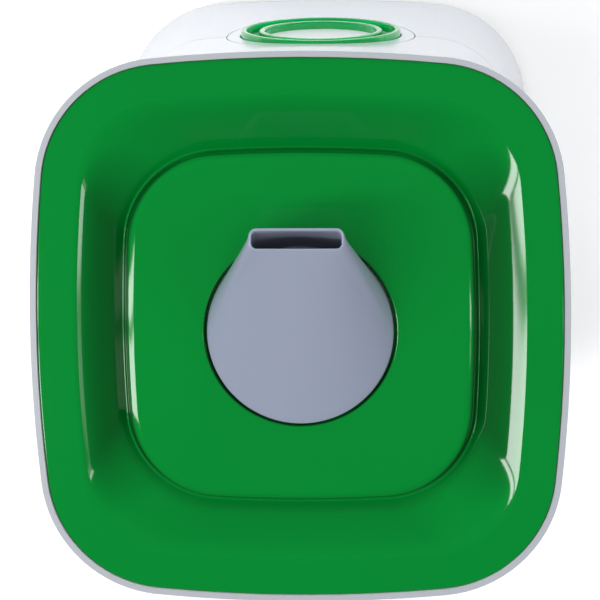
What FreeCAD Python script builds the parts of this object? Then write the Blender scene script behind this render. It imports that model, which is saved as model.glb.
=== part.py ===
import FreeCAD, Part

import math
import os
import re

import Sketcher

# Ultrasonic cool-mist humidifier: a waisted tower of a base and a lift-off water tank.
# Millimetres. Origin at the middle of the footprint, +Z up, the front (control knob) faces -Y.

doc = FreeCAD.newDocument("humidifier")
sheet = doc.addObject("Spreadsheet::Sheet", "Sizes")

SIZES = [
    # alias, value or formula, what it is
    ("width", 186.0, "rim width along X"),
    ("depth", 192.0, "rim depth along Y"),
    ("height", 322.0, "rim of the tank above the table"),
    ("side_arc", 531.0, "radius of the four bowed sides of the outline"),
    ("corner_arc", 44.5, "radius of the four corners of the outline"),
    ("waist", 14.0, "how far the sides draw in at the waist"),
    ("waist_level", 158.0, "height of the narrowest section"),
    ("base_wall", 2.6, "wall of the base shell"),
    ("tank_wall", 3.2, "wall of the tank"),
    ("rim_wall", 2.0, "thin wall of the tank around the lid"),
    ("seam_gap", 0.4, "hairline gap between base and tank, and round the panel"),
    ("seam_level", 82.0, "height of the seam and of the knob's centre"),
    ("foot_height", 3.0, "rubber feet below the base shell"),
    ("foot_radius", 9.0, "rubber foot"),
    ("foot_inset_x", 60.0, "feet from the middle along X"),
    ("foot_inset_y", 62.0, "feet from the middle along Y"),
    ("cover_plate", 3.0, "bottom cover thickness"),
    ("post_x", 70.0, "screw posts from the middle along X"),
    ("post_y", 50.0, "screw posts from the middle along Y"),
    ("post_radius", 4.5, "screw post"),
    ("shank_radius", 1.5, "self-tapping screw shank"),
    ("head_radius", 3.0, "screw head"),
    ("head_height", 1.6, "screw head"),
    ("rib", 2.0, "rib between a screw post and the wall"),
    ("cover_play", 0.3, "gap round the bottom cover and round the deck"),
    ("cover_screw", 10.0, "bottom cover screw"),
    ("slot_width", 3.0, "slot of the air intake, and the bar beside it"),
    ("slot_rows", 8, "slots of the air intake"),
    ("deck_top", 74.0, "top of the basin's deck"),
    ("deck_plate", 2.5, "deck thickness"),
    ("basin_floor", 56.0, "inside floor of the water basin"),
    ("basin_half_x", 62.0, "outside half width of the basin"),
    ("basin_front", 48.0, "outside front of the basin, measured forward of the middle"),
    ("basin_back", 79.0, "outside back of the basin"),
    ("basin_wall", 2.5, "basin wall"),
    ("basin_corner", 14.0, "basin corner radius"),
    ("basin_screw", 9.0, "deck screw"),
    ("mist_y", 1.4, "mist axis behind the middle"),
    ("sonic_hole", 8.5, "radius of the hole above the transducer"),
    ("sonic_radius", 10.5, "transducer disc radius"),
    ("sonic_plate", 0.8, "transducer disc thickness"),
    ("sonic_seal", 13.0, "outer radius of the transducer seal"),
    ("sonic_seal_height", 1.8, "transducer seal thickness"),
    ("retainer_radius", 20.0, "transducer retainer"),
    ("retainer_plate", 2.0, "transducer retainer thickness"),
    ("retainer_screw_ring", 16.5, "pitch radius of the retainer's screws"),
    ("retainer_head", 2.7, "retainer screw head"),
    ("retainer_bore", 7.5, "hole in the retainer"),
    ("sensor_length", 14.0, "water level sensor along X"),
    ("sensor_width", 8.0, "water level sensor along Y"),
    ("sensor_height", 3.0, "water level sensor"),
    ("float_x", 42.0, "float post along X"),
    ("float_y", 8.0, "float post along Y"),
    ("float_post", 4.0, "float post radius"),
    ("float_fit", 0.1, "radial running clearance of the float"),
    ("float_radius", 12.0, "float radius"),
    ("float_height", 10.0, "float height"),
    ("float_stop", 22.0, "float post above the basin floor"),
    ("float_rest", 0.3, "float above the basin floor at rest"),
    ("magnet_inner", 5.5, "float magnet ring inner radius"),
    ("magnet_outer", 8.5, "float magnet ring outer radius"),
    ("magnet_height", 3.0, "float magnet ring"),
    ("fan_x", -40.0, "fan axis along X"),
    ("fan_y", 20.0, "fan axis along Y"),
    ("fan_size", 50.0, "fan frame, square"),
    ("fan_height", 15.0, "fan frame height"),
    ("fan_bore", 23.5, "fan bore radius"),
    ("fan_level", 12.0, "underside of the fan frame"),
    ("fan_round", 3.0, "corner radius of the fan frame"),
    ("fan_screw_inset", 3.5, "fan screws from the frame's edges"),
    ("fan_screw_tip", 4.0, "fan screws below the frame"),
    ("fan_strut", 2.0, "struts and plate that carry the motor"),
    ("motor_radius", 8.0, "fan motor"),
    ("motor_height", 6.0, "fan motor"),
    ("rotor_rise", 3.5, "rotor above the frame's underside"),
    ("rotor_height", 10.0, "rotor"),
    ("rotor_skin", 1.5, "rotor hub wall"),
    ("rotor_roof", 2.0, "rotor hub top"),
    ("blade_chord", 12.0, "fan blade chord"),
    ("blade_thick", 1.4, "fan blade thickness"),
    ("blade_root", 1.0, "fan blade sunk into the hub"),
    ("fan_hub", 11.0, "rotor hub radius"),
    ("fan_shaft", 1.5, "rotor shaft radius"),
    ("fan_shaft_fit", 0.05, "radial running clearance of the rotor shaft"),
    ("fan_tip_gap", 1.0, "blade tip to bore"),
    ("blade_count", 7, "fan blades"),
    ("blade_pitch", 38.0, "blade angle, degrees"),
    ("duct_radius", 13.5, "outer radius of the air pipe"),
    ("duct_wall", 1.8, "air duct wall"),
    ("duct_flange", 2.0, "air duct flange on the fan"),
    ("funnel_foot", 23.0, "outer radius of the duct's funnel at the fan"),
    ("funnel_height", 16.0, "top of the duct's funnel above the fan"),
    ("duct_top", 83.0, "top of the air pipe, above the water"),
    ("sleeve_wall", 2.5, "wall of the sleeve that keeps water off the air pipe"),
    ("sleeve_drop", 2.0, "sleeve below the top of the air pipe"),
    ("filter_plate", 3.0, "foam air filter"),
    ("board_plate", 1.6, "circuit board"),
    ("board_level", 14.0, "underside of the circuit boards"),
    ("board_post_inset", 4.0, "board posts from the board's edges"),
    ("board_screw", 7.0, "board screw"),
    ("driver_left", 8.0, "driver board, left edge"),
    ("driver_right", 64.0, "driver board, right edge"),
    ("driver_front", -34.0, "driver board, front edge"),
    ("driver_back", 34.0, "driver board, back edge"),
    ("power_left", -64.0, "power board, left edge"),
    ("power_right", -2.0, "power board, right edge"),
    ("power_front", -54.0, "power board, front edge"),
    ("power_back", -8.0, "power board, back edge"),
    ("sink_x", 28.0, "heat sink, left edge"),
    ("sink_length", 30.0, "heat sink along X"),
    ("sink_width", 22.0, "heat sink along Y"),
    ("sink_plate", 2.5, "heat sink plate"),
    ("fin_height", 14.0, "heat sink fin"),
    ("fin_thick", 1.2, "heat sink fin"),
    ("fin_count", 7, "heat sink fins"),
    ("coil_x", -52.0, "transformer, left edge"),
    ("coil_y", -38.0, "transformer, front edge"),
    ("coil_length", 30.0, "transformer along X"),
    ("coil_width", 26.0, "transformer along Y"),
    ("coil_height", 22.0, "transformer"),
    ("can_x", -13.0, "capacitors along X"),
    ("can_front", -39.0, "front capacitor along Y"),
    ("can_pitch", 15.0, "spacing of the capacitors"),
    ("can_radius", 6.0, "capacitor"),
    ("can_height", 18.0, "capacitor"),
    ("floor_gap", 6.0, "tank floor above the seam"),
    ("floor_ledge", 1.6, "ledge that the tank floor is welded to"),
    ("weld_gap", 0.1, "tank floor to wall"),
    ("tank_floor", 2.5, "tank floor thickness"),
    ("neck_y", 48.0, "filler neck behind the middle"),
    ("neck_radius", 23.2, "outer radius of the filler neck"),
    ("neck_wall", 2.5, "filler neck wall"),
    ("neck_fit", 0.1, "radial clearance of the cap on the neck"),
    ("neck_end", 74.6, "lower end of the filler neck"),
    ("cap_wall", 2.2, "tank cap wall"),
    ("cap_bottom", 70.0, "underside of the tank cap"),
    ("cap_plate", 2.4, "tank cap plate"),
    ("cap_top", 82.0, "upper edge of the tank cap"),
    ("grip_radius", 1.2, "grip rib of the tank cap"),
    ("grip_margin", 0.5, "grip ribs short of the cap's edges"),
    ("stem_radius", 1.9, "valve stem"),
    ("stem_fit", 0.1, "radial running clearance of the valve stem"),
    ("valve_travel", 3.0, "valve lift when the tank is seated"),
    ("stem_foot", 62.0, "lower end of the valve stem, tank seated"),
    ("stem_flange", 4.5, "flange that carries the spring"),
    ("flange_plate", 1.6, "flange thickness"),
    ("stem_head", 1.2, "head of the stem above the seal"),
    ("opener_radius", 2.9, "pin in the basin that lifts the stem"),
    ("valve_disc", 10.0, "valve seal radius"),
    ("valve_disc_height", 2.0, "valve seal thickness"),
    ("port_ring", 6.4, "pitch radius of the valve ports"),
    ("port_radius", 2.2, "valve port"),
    ("spring_wire", 0.5, "valve spring wire radius"),
    ("spring_radius", 3.4, "valve spring mean radius"),
    ("spring_turns", 3, "valve spring turns"),
    ("pin_gap", 0.1, "opener pin below the stem"),
    ("tube_foot", 17.0, "outer radius of the mist tube at its lower end"),
    ("tube_wall", 2.0, "mist tube wall"),
    ("tube_drop", 10.0, "mist tube below the tank floor"),
    ("tube_bead", 2.0, "bead of the mist tube that rests on the floor"),
    ("tube_seal_height", 3.0, "seal between mist tube and lid"),
    ("tube_end", 1.0, "mist tube below the nozzle's neck"),
    ("lid_gap", 0.3, "gap between rim and lid"),
    ("lid_drop", 0.5, "lid face below the rim"),
    ("lid_height", 13.0, "lid from face to underside"),
    ("lid_skin", 2.5, "lid wall"),
    ("lid_band", 13.8, "flat band round the lid"),
    ("channel_depth", 10.0, "channel below the band"),
    ("channel_floor", 0.8, "flat floor between the slope and the pad"),
    ("pad_half_x", 60.5, "half width of the raised pad along X"),
    ("pad_half_y", 60.8, "half width of the raised pad along Y"),
    ("pad_corner", 32.0, "pad corner radius"),
    ("pad_drop", 4.5, "pad face below the band"),
    ("pad_edge", 1.5, "rounding of the pad's edge"),
    ("seal_height", 1.0, "lid seal thickness"),
    ("nozzle_radius", 32.2, "nozzle foot radius"),
    ("hole_play", 1.05, "gap between nozzle and lid"),
    ("nozzle_hole", "=nozzle_radius + hole_play", "hole in the lid"),
    ("nozzle_seat", 10.0, "seat of the nozzle below the lid face"),
    ("nozzle_wall", 2.4, "nozzle wall"),
    ("neck_step", 3.6, "nozzle foot beyond its neck"),
    ("neck_tube", "=nozzle_radius - neck_step", "outer radius of the nozzle's neck"),
    ("neck_tube_depth", 18.0, "end of the nozzle's neck below the lid face"),
    ("seat_play", 0.4, "gap between nozzle neck and seat"),
    ("seat_hole", "=neck_tube + seat_play", "hole in the seat"),
    ("tube_seal_width", 2.5, "seal between mist tube and lid, across"),
    ("tube_head", "=seat_hole - tube_seal_width", "outer radius of the mist tube at its upper end"),
    ("seat_seal", 1.5, "nozzle seal thickness"),
    ("seal_play", 0.3, "gap between nozzle neck and seal"),
    ("inner_start", 1.0, "inside of the cone starts below the pad"),
    ("collar_depth", 24.0, "lid collar below the lid face"),
    ("collar_wall", 2.6, "lid collar wall"),
    ("mouth_rise", 26.0, "mouth above the pad"),
    ("mouth_forward", 36.0, "mouth forward of the mist axis"),
    ("mouth_half_x", 16.0, "outside half width of the mouth"),
    ("mouth_half_y", 3.9, "outside half depth of the mouth"),
    ("mouth_corner", 2.6, "outside corner of the mouth"),
    ("mouth_wall", 1.0, "wall at the mouth"),
    ("panel_radius", 39.6, "round control panel"),
    ("panel_skin", 2.6, "panel wall"),
    ("knob_recess", 34.2, "recess round the knob"),
    ("recess_depth", 6.6, "recess below the panel face"),
    ("cup_wall", 2.2, "wall of the panel's recess"),
    ("housing_radius", 38.4, "panel housing"),
    ("housing_wall", 2.0, "panel housing wall"),
    ("housing_depth", 28.0, "panel housing behind the face"),
    ("housing_front", 5.5, "front edge of the housing behind the face"),
    ("housing_play", 2.0, "room for the housing in the base shell"),
    ("cup_back", 2.4, "back wall of the panel's recess"),
    ("cup_front", 0.5, "recess wall behind the panel's face"),
    ("panel_margin", 5.0, "panel stock above and below its circle"),
    ("hub_play", 0.4, "gap between the hub and the panel"),
    ("alcove_gap", 2.2, "tank alcove behind the housing"),
    ("alcove_wall", 2.4, "tank alcove wall"),
    ("knob_radius", 33.7, "knob ring outer radius"),
    ("knob_proud", 1.8, "outer lip in front of the face"),
    ("lip_wall", 2.4, "outer lip of the knob ring"),
    ("inner_lip", 26.0, "inner lip outer radius"),
    ("inner_lip_wall", 2.5, "inner lip"),
    ("inner_proud", 1.4, "inner lip in front of the face"),
    ("groove_depth", 2.6, "groove floor behind the face"),
    ("knob_back", 6.0, "back of the knob ring behind the face"),
    ("cap_recess", 1.8, "white knob cap behind the face"),
    ("cap_thick", 2.8, "white knob cap"),
    ("knob_shaft", 2.5, "knob shaft"),
    ("shaft_fit", 0.05, "radial running clearance of the knob shaft"),
    ("hub_radius", 4.6, "knob hub"),
    ("hub_back", 8.6, "back of the hub behind the face"),
    ("shaft_back", 24.0, "end of the shaft behind the face"),
    ("dial_radius", 9.0, "rotary control body"),
    ("dial_front", 14.0, "front of the rotary control behind the face"),
    ("dial_bush", 3.4, "rotary control bush"),
    ("bush_play", 0.6, "bush behind the hub"),
    ("shaft_play", 0.2, "bore past the end of the shaft"),
    ("gland_level", 18.0, "cord gland height"),
    ("gland_bore", 3.2, "cord gland bore radius"),
    ("gland_body", 6.0, "cord gland body radius"),
    ("gland_flange", 8.0, "cord gland flange radius"),
    ("gland_length", 12.0, "cord gland length"),
    ("gland_lip", 2.0, "cord gland flange thickness"),
]

for row, (alias, value, meaning) in enumerate(SIZES, start=1):
    sheet.set(f"A{row}", meaning)
    sheet.set(f"B{row}", str(value))
    sheet.setAlias(f"B{row}", alias)
doc.recompute()

ALIASES = {alias for alias, _, _ in SIZES}
# how far cutting tools run past a wall
PAST = 20.0
# sections of the lofts: low slices, tall ones and the lid's slope
SHORT_SECTIONS = 3
TALL_SECTIONS = 8
SLOPE_SECTIONS = 7
# how soon the lid's slope straightens after the band
SLOPE_BEND = 6.0
# edges this close in height lie on the same face
SAME_LEVEL = 0.01
# degrees between the tank cap's grip ribs and between its ports
GRIP_STEP = 20
PORT_STEP = 60
# degrees forward of +X where the nozzle's creases meet its foot: corners and edges of the mouth in turn
MOUTH_STOPS = [-4, 4, 52, 62, 118, 128, 176, 184]
PIECES = []
UP = FreeCAD.Vector(0, 0, 1)
BACK = FreeCAD.Vector(0, 1, 0)


def bound(text):
    """Expression text with each alias written as a cell of the sheet."""
    return re.sub(r"[a-z_]+", lambda word: "Sizes." + word[0] if word[0] in ALIASES else word[0], text)


def worth(text):
    """Number that an expression in the sheet's aliases comes to."""
    return float(sheet.evalExpression(bound(text)))


def bind(item, settings):
    """Tie properties of a document object to expressions."""
    for name, text in settings.items():
        item.setExpression(name, bound(text))
    return item


def place(item, spot):
    """Tie an object's position to three expressions."""
    return bind(item, dict(zip(("Placement.Base.x", "Placement.Base.y", "Placement.Base.z"), spot)))


def keep(item, label):
    """Mark an object as one of the humidifier's pieces."""
    item.Label = label
    PIECES.append(item)
    return item


def turned(label, outline, spot=None):
    """PartDesign body turned about its own vertical axis from (radius, height) corners."""
    body = doc.addObject("PartDesign::Body", "Body_" + label)
    sketch = body.newObject("Sketcher::SketchObject", "Outline_" + label)
    plane = next(item for item in body.Origin.OriginFeatures if item.Role == "XZ_Plane")
    sketch.AttachmentSupport = [(plane, "")]
    sketch.MapMode = "FlatFace"
    corners = [FreeCAD.Vector(worth(radius), worth(level), 0) for radius, level in outline]
    count = len(corners)
    for index in range(count):
        line = Part.LineSegment(corners[index], corners[(index + 1) % count])
        sketch.addGeometry(line, False)
    for index in range(count):
        sketch.addConstraint(Sketcher.Constraint("Coincident", index, 2, (index + 1) % count, 1))
    for index, (radius, level) in enumerate(outline):
        for kind, text, number in (
            ("DistanceX", radius, corners[index].x),
            ("DistanceY", level, corners[index].y),
        ):
            tie = sketch.addConstraint(Sketcher.Constraint(kind, -1, 1, index, 1, number))
            sketch.setExpression(f"Constraints[{tie}]", bound(text))
    turn = body.newObject("PartDesign::Revolution", "Turn_" + label)
    turn.Profile = sketch
    turn.ReferenceAxis = (sketch, ["V_Axis"])
    turn.Angle = 360
    body.Tip = turn
    return place(body, spot) if spot else body


def cylinder(radius, length, spot):
    """Upright Part cylinder tied to the sheet."""
    item = doc.addObject("Part::Cylinder", "Cylinder")
    bind(item, {"Radius": radius, "Height": length})
    return place(item, spot)


def box(length, width, tall, spot):
    """Part box tied to the sheet, placed by its lowest corner."""
    item = doc.addObject("Part::Box", "Box")
    bind(item, {"Length": length, "Width": width, "Height": tall})
    return place(item, spot)


def solid(shape):
    """Document object that holds a shape made with Part's functions."""
    item = doc.addObject("Part::Feature", "Solid")
    item.Shape = shape
    return item


def fuse(items):
    """Parametric union."""
    item = doc.addObject("Part::MultiFuse", "Fuse")
    item.Shapes = items
    return item


def cut(base, tools):
    """Parametric difference."""
    item = doc.addObject("Part::Cut", "Cut")
    item.Base = base
    item.Tool = tools[0] if len(tools) == 1 else fuse(tools)
    return item


def group(items):
    """Several separate solids as one object."""
    item = doc.addObject("Part::Compound", "Group")
    item.Links = items
    return item


# ---- outline of the tower --------------------------------------------------------------------

def ring_of_arcs(half_x, half_y, side, corner, level):
    """Wire of four shallow side arcs joined by four tangent corner arcs."""
    side_x = FreeCAD.Vector(half_x - side, 0, 0)
    side_y = FreeCAD.Vector(0, half_y - side, 0)
    between = side_y - side_x
    reach = math.sqrt((side - corner) ** 2 - (between.Length / 2) ** 2)
    across = FreeCAD.Vector(-between.y, between.x, 0).normalize()
    hub = (side_x + side_y) * 0.5 + across * reach
    from_x = (hub - side_x).normalize()
    from_y = (hub - side_y).normalize()
    low = hub + from_x * corner
    high = hub + from_y * corner
    middle = hub + (from_x + from_y).normalize() * corner

    def spot(point, sign_x, sign_y):
        return FreeCAD.Vector(point.x * sign_x, point.y * sign_y, level)

    right = FreeCAD.Vector(half_x, 0, 0)
    rear = FreeCAD.Vector(0, half_y, 0)
    arcs = [
        (spot(low, 1, -1), spot(right, 1, 1), spot(low, 1, 1)),
        (spot(low, 1, 1), spot(middle, 1, 1), spot(high, 1, 1)),
        (spot(high, 1, 1), spot(rear, 1, 1), spot(high, -1, 1)),
        (spot(high, -1, 1), spot(middle, -1, 1), spot(low, -1, 1)),
        (spot(low, -1, 1), spot(right, -1, 1), spot(low, -1, -1)),
        (spot(low, -1, -1), spot(middle, -1, -1), spot(high, -1, -1)),
        (spot(high, -1, -1), spot(rear, 1, -1), spot(high, 1, -1)),
        (spot(high, 1, -1), spot(middle, 1, -1), spot(low, 1, -1)),
    ]
    return Part.Wire([Part.Arc(*points).toShape() for points in arcs])


def outline(inset, level):
    """Rim outline of the tower, drawn in by an inset."""
    return ring_of_arcs(
        worth("width / 2") - inset,
        worth("depth / 2") - inset,
        worth("side_arc") - inset,
        worth("corner_arc") - inset,
        level,
    )


def draw_in(level):
    """How far the waisted sides lie inside the rim outline at a level."""
    rise = worth("height - waist_level")
    waist = worth("waist")
    arc = (rise ** 2 + waist ** 2) / (2 * waist)
    return waist - (arc - math.sqrt(arc ** 2 - (level - worth("waist_level")) ** 2))


def tower(low, high, inset=0.0, sections=6):
    """Solid slice of the waisted tower between two levels."""
    levels = [low + (high - low) * index / (sections - 1) for index in range(sections)]
    return Part.makeLoft([outline(draw_in(level) + inset, level) for level in levels], True, False)


def slab(wire, thickness):
    """Flat plate over a wire."""
    return Part.Face(wire).extrude(UP * thickness)


def upright_face(level):
    """Distance of the front face from the middle at a level."""
    return worth("depth / 2") - draw_in(level)


def lean():
    """Backward lean of the front face at the knob, degrees."""
    step = 0.5
    level = worth("seam_level")
    change = draw_in(level + step) - draw_in(level - step)
    return math.degrees(math.atan(change / (2 * step)))


def panel_placement():
    """Frame whose Z is the outward normal of the front face at the knob's centre."""
    level = worth("seam_level")
    centre = FreeCAD.Vector(0, -upright_face(level), level)
    return FreeCAD.Placement(centre, FreeCAD.Rotation(FreeCAD.Vector(1, 0, 0), 90 - lean()))


def on_panel(item):
    """Stand a turned piece on the knob's axis."""
    item.Placement = panel_placement()
    return item


def panel_bore(radius, front, back):
    """Cylinder along the knob's axis, from in front of the face to behind it."""
    shape = Part.makeCylinder(radius, front + back, FreeCAD.Vector(0, 0, -back), UP)
    shape.Placement = panel_placement()
    return shape


def rounded_block(x_low, x_high, y_low, y_high, corner, level, tall):
    """Block with rounded upright edges."""
    block = Part.makeBox(x_high - x_low, y_high - y_low, tall, FreeCAD.Vector(x_low, y_low, level))
    upright = [edge for edge in block.Edges if abs(edge.tangentAt(edge.FirstParameter).z) > 0.9]
    return block.makeFillet(corner, upright)


# ---- base ------------------------------------------------------------------------------------

def corners_of(x_alias, y_alias):
    """The four mirrored places of a pair of offsets."""
    return [(f"{x} * {x_alias}", f"{y} * {y_alias}") for x in (-1, 1) for y in (-1, 1)]


def base_shell():
    """Open skirt with four screw posts tied to its walls."""
    low = worth("foot_height")
    high = worth("seam_level")
    outer = tower(low, high)
    skirt = outer.cut(tower(low, high, worth("base_wall")))
    post_low = worth("foot_height + cover_plate")
    post_tall = worth("deck_top - deck_plate") - post_low
    rib = worth("rib")
    for side_x in (-1, 1):
        for side_y in (-1, 1):
            spot = FreeCAD.Vector(side_x * worth("post_x"), side_y * worth("post_y"), post_low)
            post = Part.makeCylinder(worth("post_radius"), post_tall, spot)
            reach = worth("width / 2 - post_x")
            start = spot.x if side_x > 0 else spot.x - reach
            web = Part.makeBox(reach, rib, post_tall, FreeCAD.Vector(start, spot.y - rib / 2, post_low))
            skirt = skirt.fuse(post.fuse(web).common(outer))
            skirt = skirt.cut(Part.makeCylinder(worth("shank_radius"), post_tall, spot))
    room = panel_bore(worth("panel_radius + seam_gap"), PAST, worth("housing_depth + housing_play"))
    skirt = skirt.cut(room)
    gland = Part.makeCylinder(
        worth("gland_body"), worth("width"), FreeCAD.Vector(0, 0, worth("gland_level")), BACK
    )
    return solid(skirt.cut(gland).removeSplitter())


def bottom_cover():
    """Flat cover with boss posts, an intake grille under the fan and countersunk screw holes."""
    level = worth("foot_height")
    plate = tower(level, level + worth("cover_plate"), worth("base_wall + cover_play"), SHORT_SECTIONS)
    slots = []
    slot_width = worth("slot_width")
    rows = int(worth("slot_rows"))
    for index in range(rows):
        offset = (index - (rows - 1) / 2) * slot_width * 2
        chord = 2 * math.sqrt(worth("fan_bore") ** 2 - offset ** 2) - slot_width
        slots.append(Part.makeBox(
            chord, slot_width, worth("cover_plate"),
            FreeCAD.Vector(worth("fan_x") - chord / 2, worth("fan_y") + offset - slot_width / 2, level),
        ))
    for x_text, y_text in corners_of("post_x", "post_y"):
        spot = FreeCAD.Vector(worth(x_text), worth(y_text), level)
        slots.append(Part.makeCylinder(worth("shank_radius"), worth("cover_plate"), spot))
        slots.append(Part.makeCylinder(worth("head_radius"), worth("head_height"), spot))
    for x_text, y_text in corners_of("foot_inset_x", "foot_inset_y"):
        spot = FreeCAD.Vector(worth(x_text), worth(y_text), level)
        slots.append(Part.makeCylinder(worth("foot_radius / 2"), worth("cover_plate"), spot))
    top = level + worth("cover_plate")
    for x_text, y_text in BOARD_POSTS:
        spot = FreeCAD.Vector(worth(x_text), worth(y_text), top)
        plate = plate.fuse(Part.makeCylinder(worth("shank_radius * 2"), worth("board_level") - top, spot))
        slots.append(Part.makeCylinder(worth("shank_radius"), worth("board_level") - top, spot))
    for side_x in (-1, 1):
        for side_y in (-1, 1):
            spot = fan_corner(side_x, side_y, top)
            plate = plate.fuse(Part.makeCylinder(worth("shank_radius * 2"), worth("fan_level") - top, spot))
            slots.append(Part.makeCylinder(worth("shank_radius"), worth("fan_level") - top, spot))
    for slot in slots:
        plate = plate.cut(slot)
    return solid(plate)


def fan_corner(side_x, side_y, level):
    """Place of one of the fan's four screws."""
    reach = worth("fan_size / 2 - fan_screw_inset")
    return FreeCAD.Vector(worth("fan_x") + side_x * reach, worth("fan_y") + side_y * reach, level)


def screws(places, tip, head, length, downward):
    """Self-tapping screws as one group; the tip level is their lower or upper end."""
    made = []
    for x_text, y_text in places:
        shank = cylinder("shank_radius", length, (x_text, y_text, tip))
        cap_level = f"{tip} + {length}" if downward else f"{tip} - head_height"
        made.append(fuse([shank, cylinder(head, "head_height", (x_text, y_text, cap_level))]))
    return group(made)


DRIVER_BOARD = ("driver_left", "driver_right", "driver_front", "driver_back")
POWER_BOARD = ("power_left", "power_right", "power_front", "power_back")


def posts_of(edges):
    """The four post places inside the corners of a board."""
    left, right, front, back = edges
    return [
        (along_x, along_y)
        for along_x in (f"{left} + board_post_inset", f"{right} - board_post_inset")
        for along_y in (f"{front} + board_post_inset", f"{back} - board_post_inset")
    ]


BOARD_POSTS = posts_of(DRIVER_BOARD) + posts_of(POWER_BOARD)
RETAINER_SPOTS = [
    (f"retainer_screw_ring * cos({angle})", f"mist_y + retainer_screw_ring * sin({angle})")
    for angle in (30, 150, 270)
]


def rubber_feet():
    """Four feet with a stub that plugs into the cover."""
    made = []
    for x_text, y_text in corners_of("foot_inset_x", "foot_inset_y"):
        pad = cylinder("foot_radius", "foot_height", (x_text, y_text, "0"))
        stub = cylinder("foot_radius / 2", "cover_plate", (x_text, y_text, "foot_height"))
        made.append(fuse([pad, stub]))
    return group(made)


def water_basin():
    """Deck with a sunk basin, float post, opener pin, air sleeve and transducer seat."""
    deck_low = worth("deck_top - deck_plate")
    floor_low = worth("basin_floor - basin_wall")
    wall = worth("basin_wall")
    half = worth("basin_half_x")
    front = -worth("basin_front")
    rear = worth("basin_back")
    corner = worth("basin_corner")
    deck_inset = draw_in(worth("deck_top")) + worth("base_wall + cover_play")
    deck = slab(outline(deck_inset, deck_low), worth("deck_plate"))
    tub = rounded_block(-half, half, front, rear, corner, floor_low, worth("deck_top") - floor_low)
    hollow = rounded_block(
        -half + wall, half - wall, front + wall, rear - wall, corner - wall,
        worth("basin_floor"), worth("deck_top - basin_floor"),
    )
    body = deck.fuse(tub).cut(hollow)
    floor = worth("basin_floor")
    post = FreeCAD.Vector(worth("float_x"), worth("float_y"), floor)
    body = body.fuse(Part.makeCylinder(worth("float_post"), worth("float_stop"), post))
    pin = FreeCAD.Vector(0, worth("neck_y"), floor)
    body = body.fuse(Part.makeCylinder(worth("opener_radius"), worth("stem_foot - pin_gap") - floor, pin))
    pipe = FreeCAD.Vector(worth("fan_x"), worth("fan_y"), floor_low)
    body = body.cut(Part.makeCylinder(worth("duct_radius + sleeve_wall"), wall, pipe))
    for x_text, y_text in RETAINER_SPOTS:
        spot = FreeCAD.Vector(worth(x_text), worth(y_text), retainer_top())
        drop = floor_low - retainer_top()
        body = body.fuse(Part.makeCylinder(worth("shank_radius * 2"), drop, spot))
        body = body.cut(Part.makeCylinder(worth("shank_radius"), drop, spot))
    mist = FreeCAD.Vector(0, worth("mist_y"), floor_low)
    body = body.cut(Part.makeCylinder(worth("sonic_hole"), wall, mist))
    for x_text, y_text in corners_of("post_x", "post_y"):
        spot = FreeCAD.Vector(worth(x_text), worth(y_text), deck_low)
        body = body.cut(Part.makeCylinder(worth("shank_radius"), worth("deck_plate"), spot))
    body = body.cut(panel_bore(worth("housing_radius"), PAST, worth("housing_depth")))
    return solid(body)


def retainer_top():
    """Upper face of the transducer retainer."""
    return worth("basin_floor - basin_wall - sonic_seal_height - sonic_plate")


def fan_housing():
    """Square axial fan frame with four struts that carry the motor."""
    frame = rounded_block(
        worth("fan_x - fan_size / 2"), worth("fan_x + fan_size / 2"),
        worth("fan_y - fan_size / 2"), worth("fan_y + fan_size / 2"),
        worth("fan_round"), worth("fan_level"), worth("fan_height"),
    )
    axis = FreeCAD.Vector(worth("fan_x"), worth("fan_y"), worth("fan_level"))
    frame = frame.cut(Part.makeCylinder(worth("fan_bore"), worth("fan_height"), axis))
    strut = worth("fan_strut")
    span = worth("fan_bore * 2 + blade_root")
    for along, across in ((span, strut), (strut, span)):
        corner = axis - FreeCAD.Vector(along / 2, across / 2, 0)
        frame = frame.fuse(Part.makeBox(along, across, strut, corner))
    frame = frame.fuse(Part.makeCylinder(worth("fan_hub"), strut, axis))
    for side_x in (-1, 1):
        for side_y in (-1, 1):
            spot = fan_corner(side_x, side_y, worth("fan_level"))
            frame = frame.cut(Part.makeCylinder(worth("shank_radius"), worth("fan_height"), spot))
    return solid(frame)


def fan_rotor():
    """Cup-shaped hub with pitched blades."""
    level = worth("fan_level + rotor_rise")
    tall = worth("rotor_height")
    axis = FreeCAD.Vector(worth("fan_x"), worth("fan_y"), level)
    hub = Part.makeCylinder(worth("fan_hub"), tall, axis)
    hollow = worth("rotor_height - rotor_roof")
    hub = hub.cut(Part.makeCylinder(worth("fan_hub - rotor_skin"), hollow, axis))
    hub = hub.cut(Part.makeCylinder(worth("fan_shaft"), tall, axis))
    chord = worth("blade_chord")
    thick = worth("blade_thick")
    root = worth("fan_hub - blade_root")
    span = worth("fan_bore - fan_tip_gap") - root
    limit = Part.makeCylinder(worth("fan_bore - fan_tip_gap"), tall, axis)
    for index in range(int(worth("blade_count"))):
        blade = Part.makeBox(span, chord, thick, FreeCAD.Vector(root, -chord / 2, -thick / 2))
        blade.rotate(FreeCAD.Vector(), FreeCAD.Vector(1, 0, 0), worth("blade_pitch"))
        blade.rotate(FreeCAD.Vector(), UP, 360 * index / worth("blade_count"))
        blade.translate(axis + UP * (tall / 2))
        hub = hub.fuse(blade.common(limit))
    return solid(hub)


def circuit_board(edges):
    """Board with a hole over each of its posts."""
    left, right, front, back = edges
    plate = box(f"{right} - {left}", f"{back} - {front}", "board_plate", (left, front, "board_level"))
    holes = [
        cylinder("shank_radius", "board_plate", (x_text, y_text, "board_level"))
        for x_text, y_text in posts_of(edges)
    ]
    return cut(plate, holes)


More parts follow.
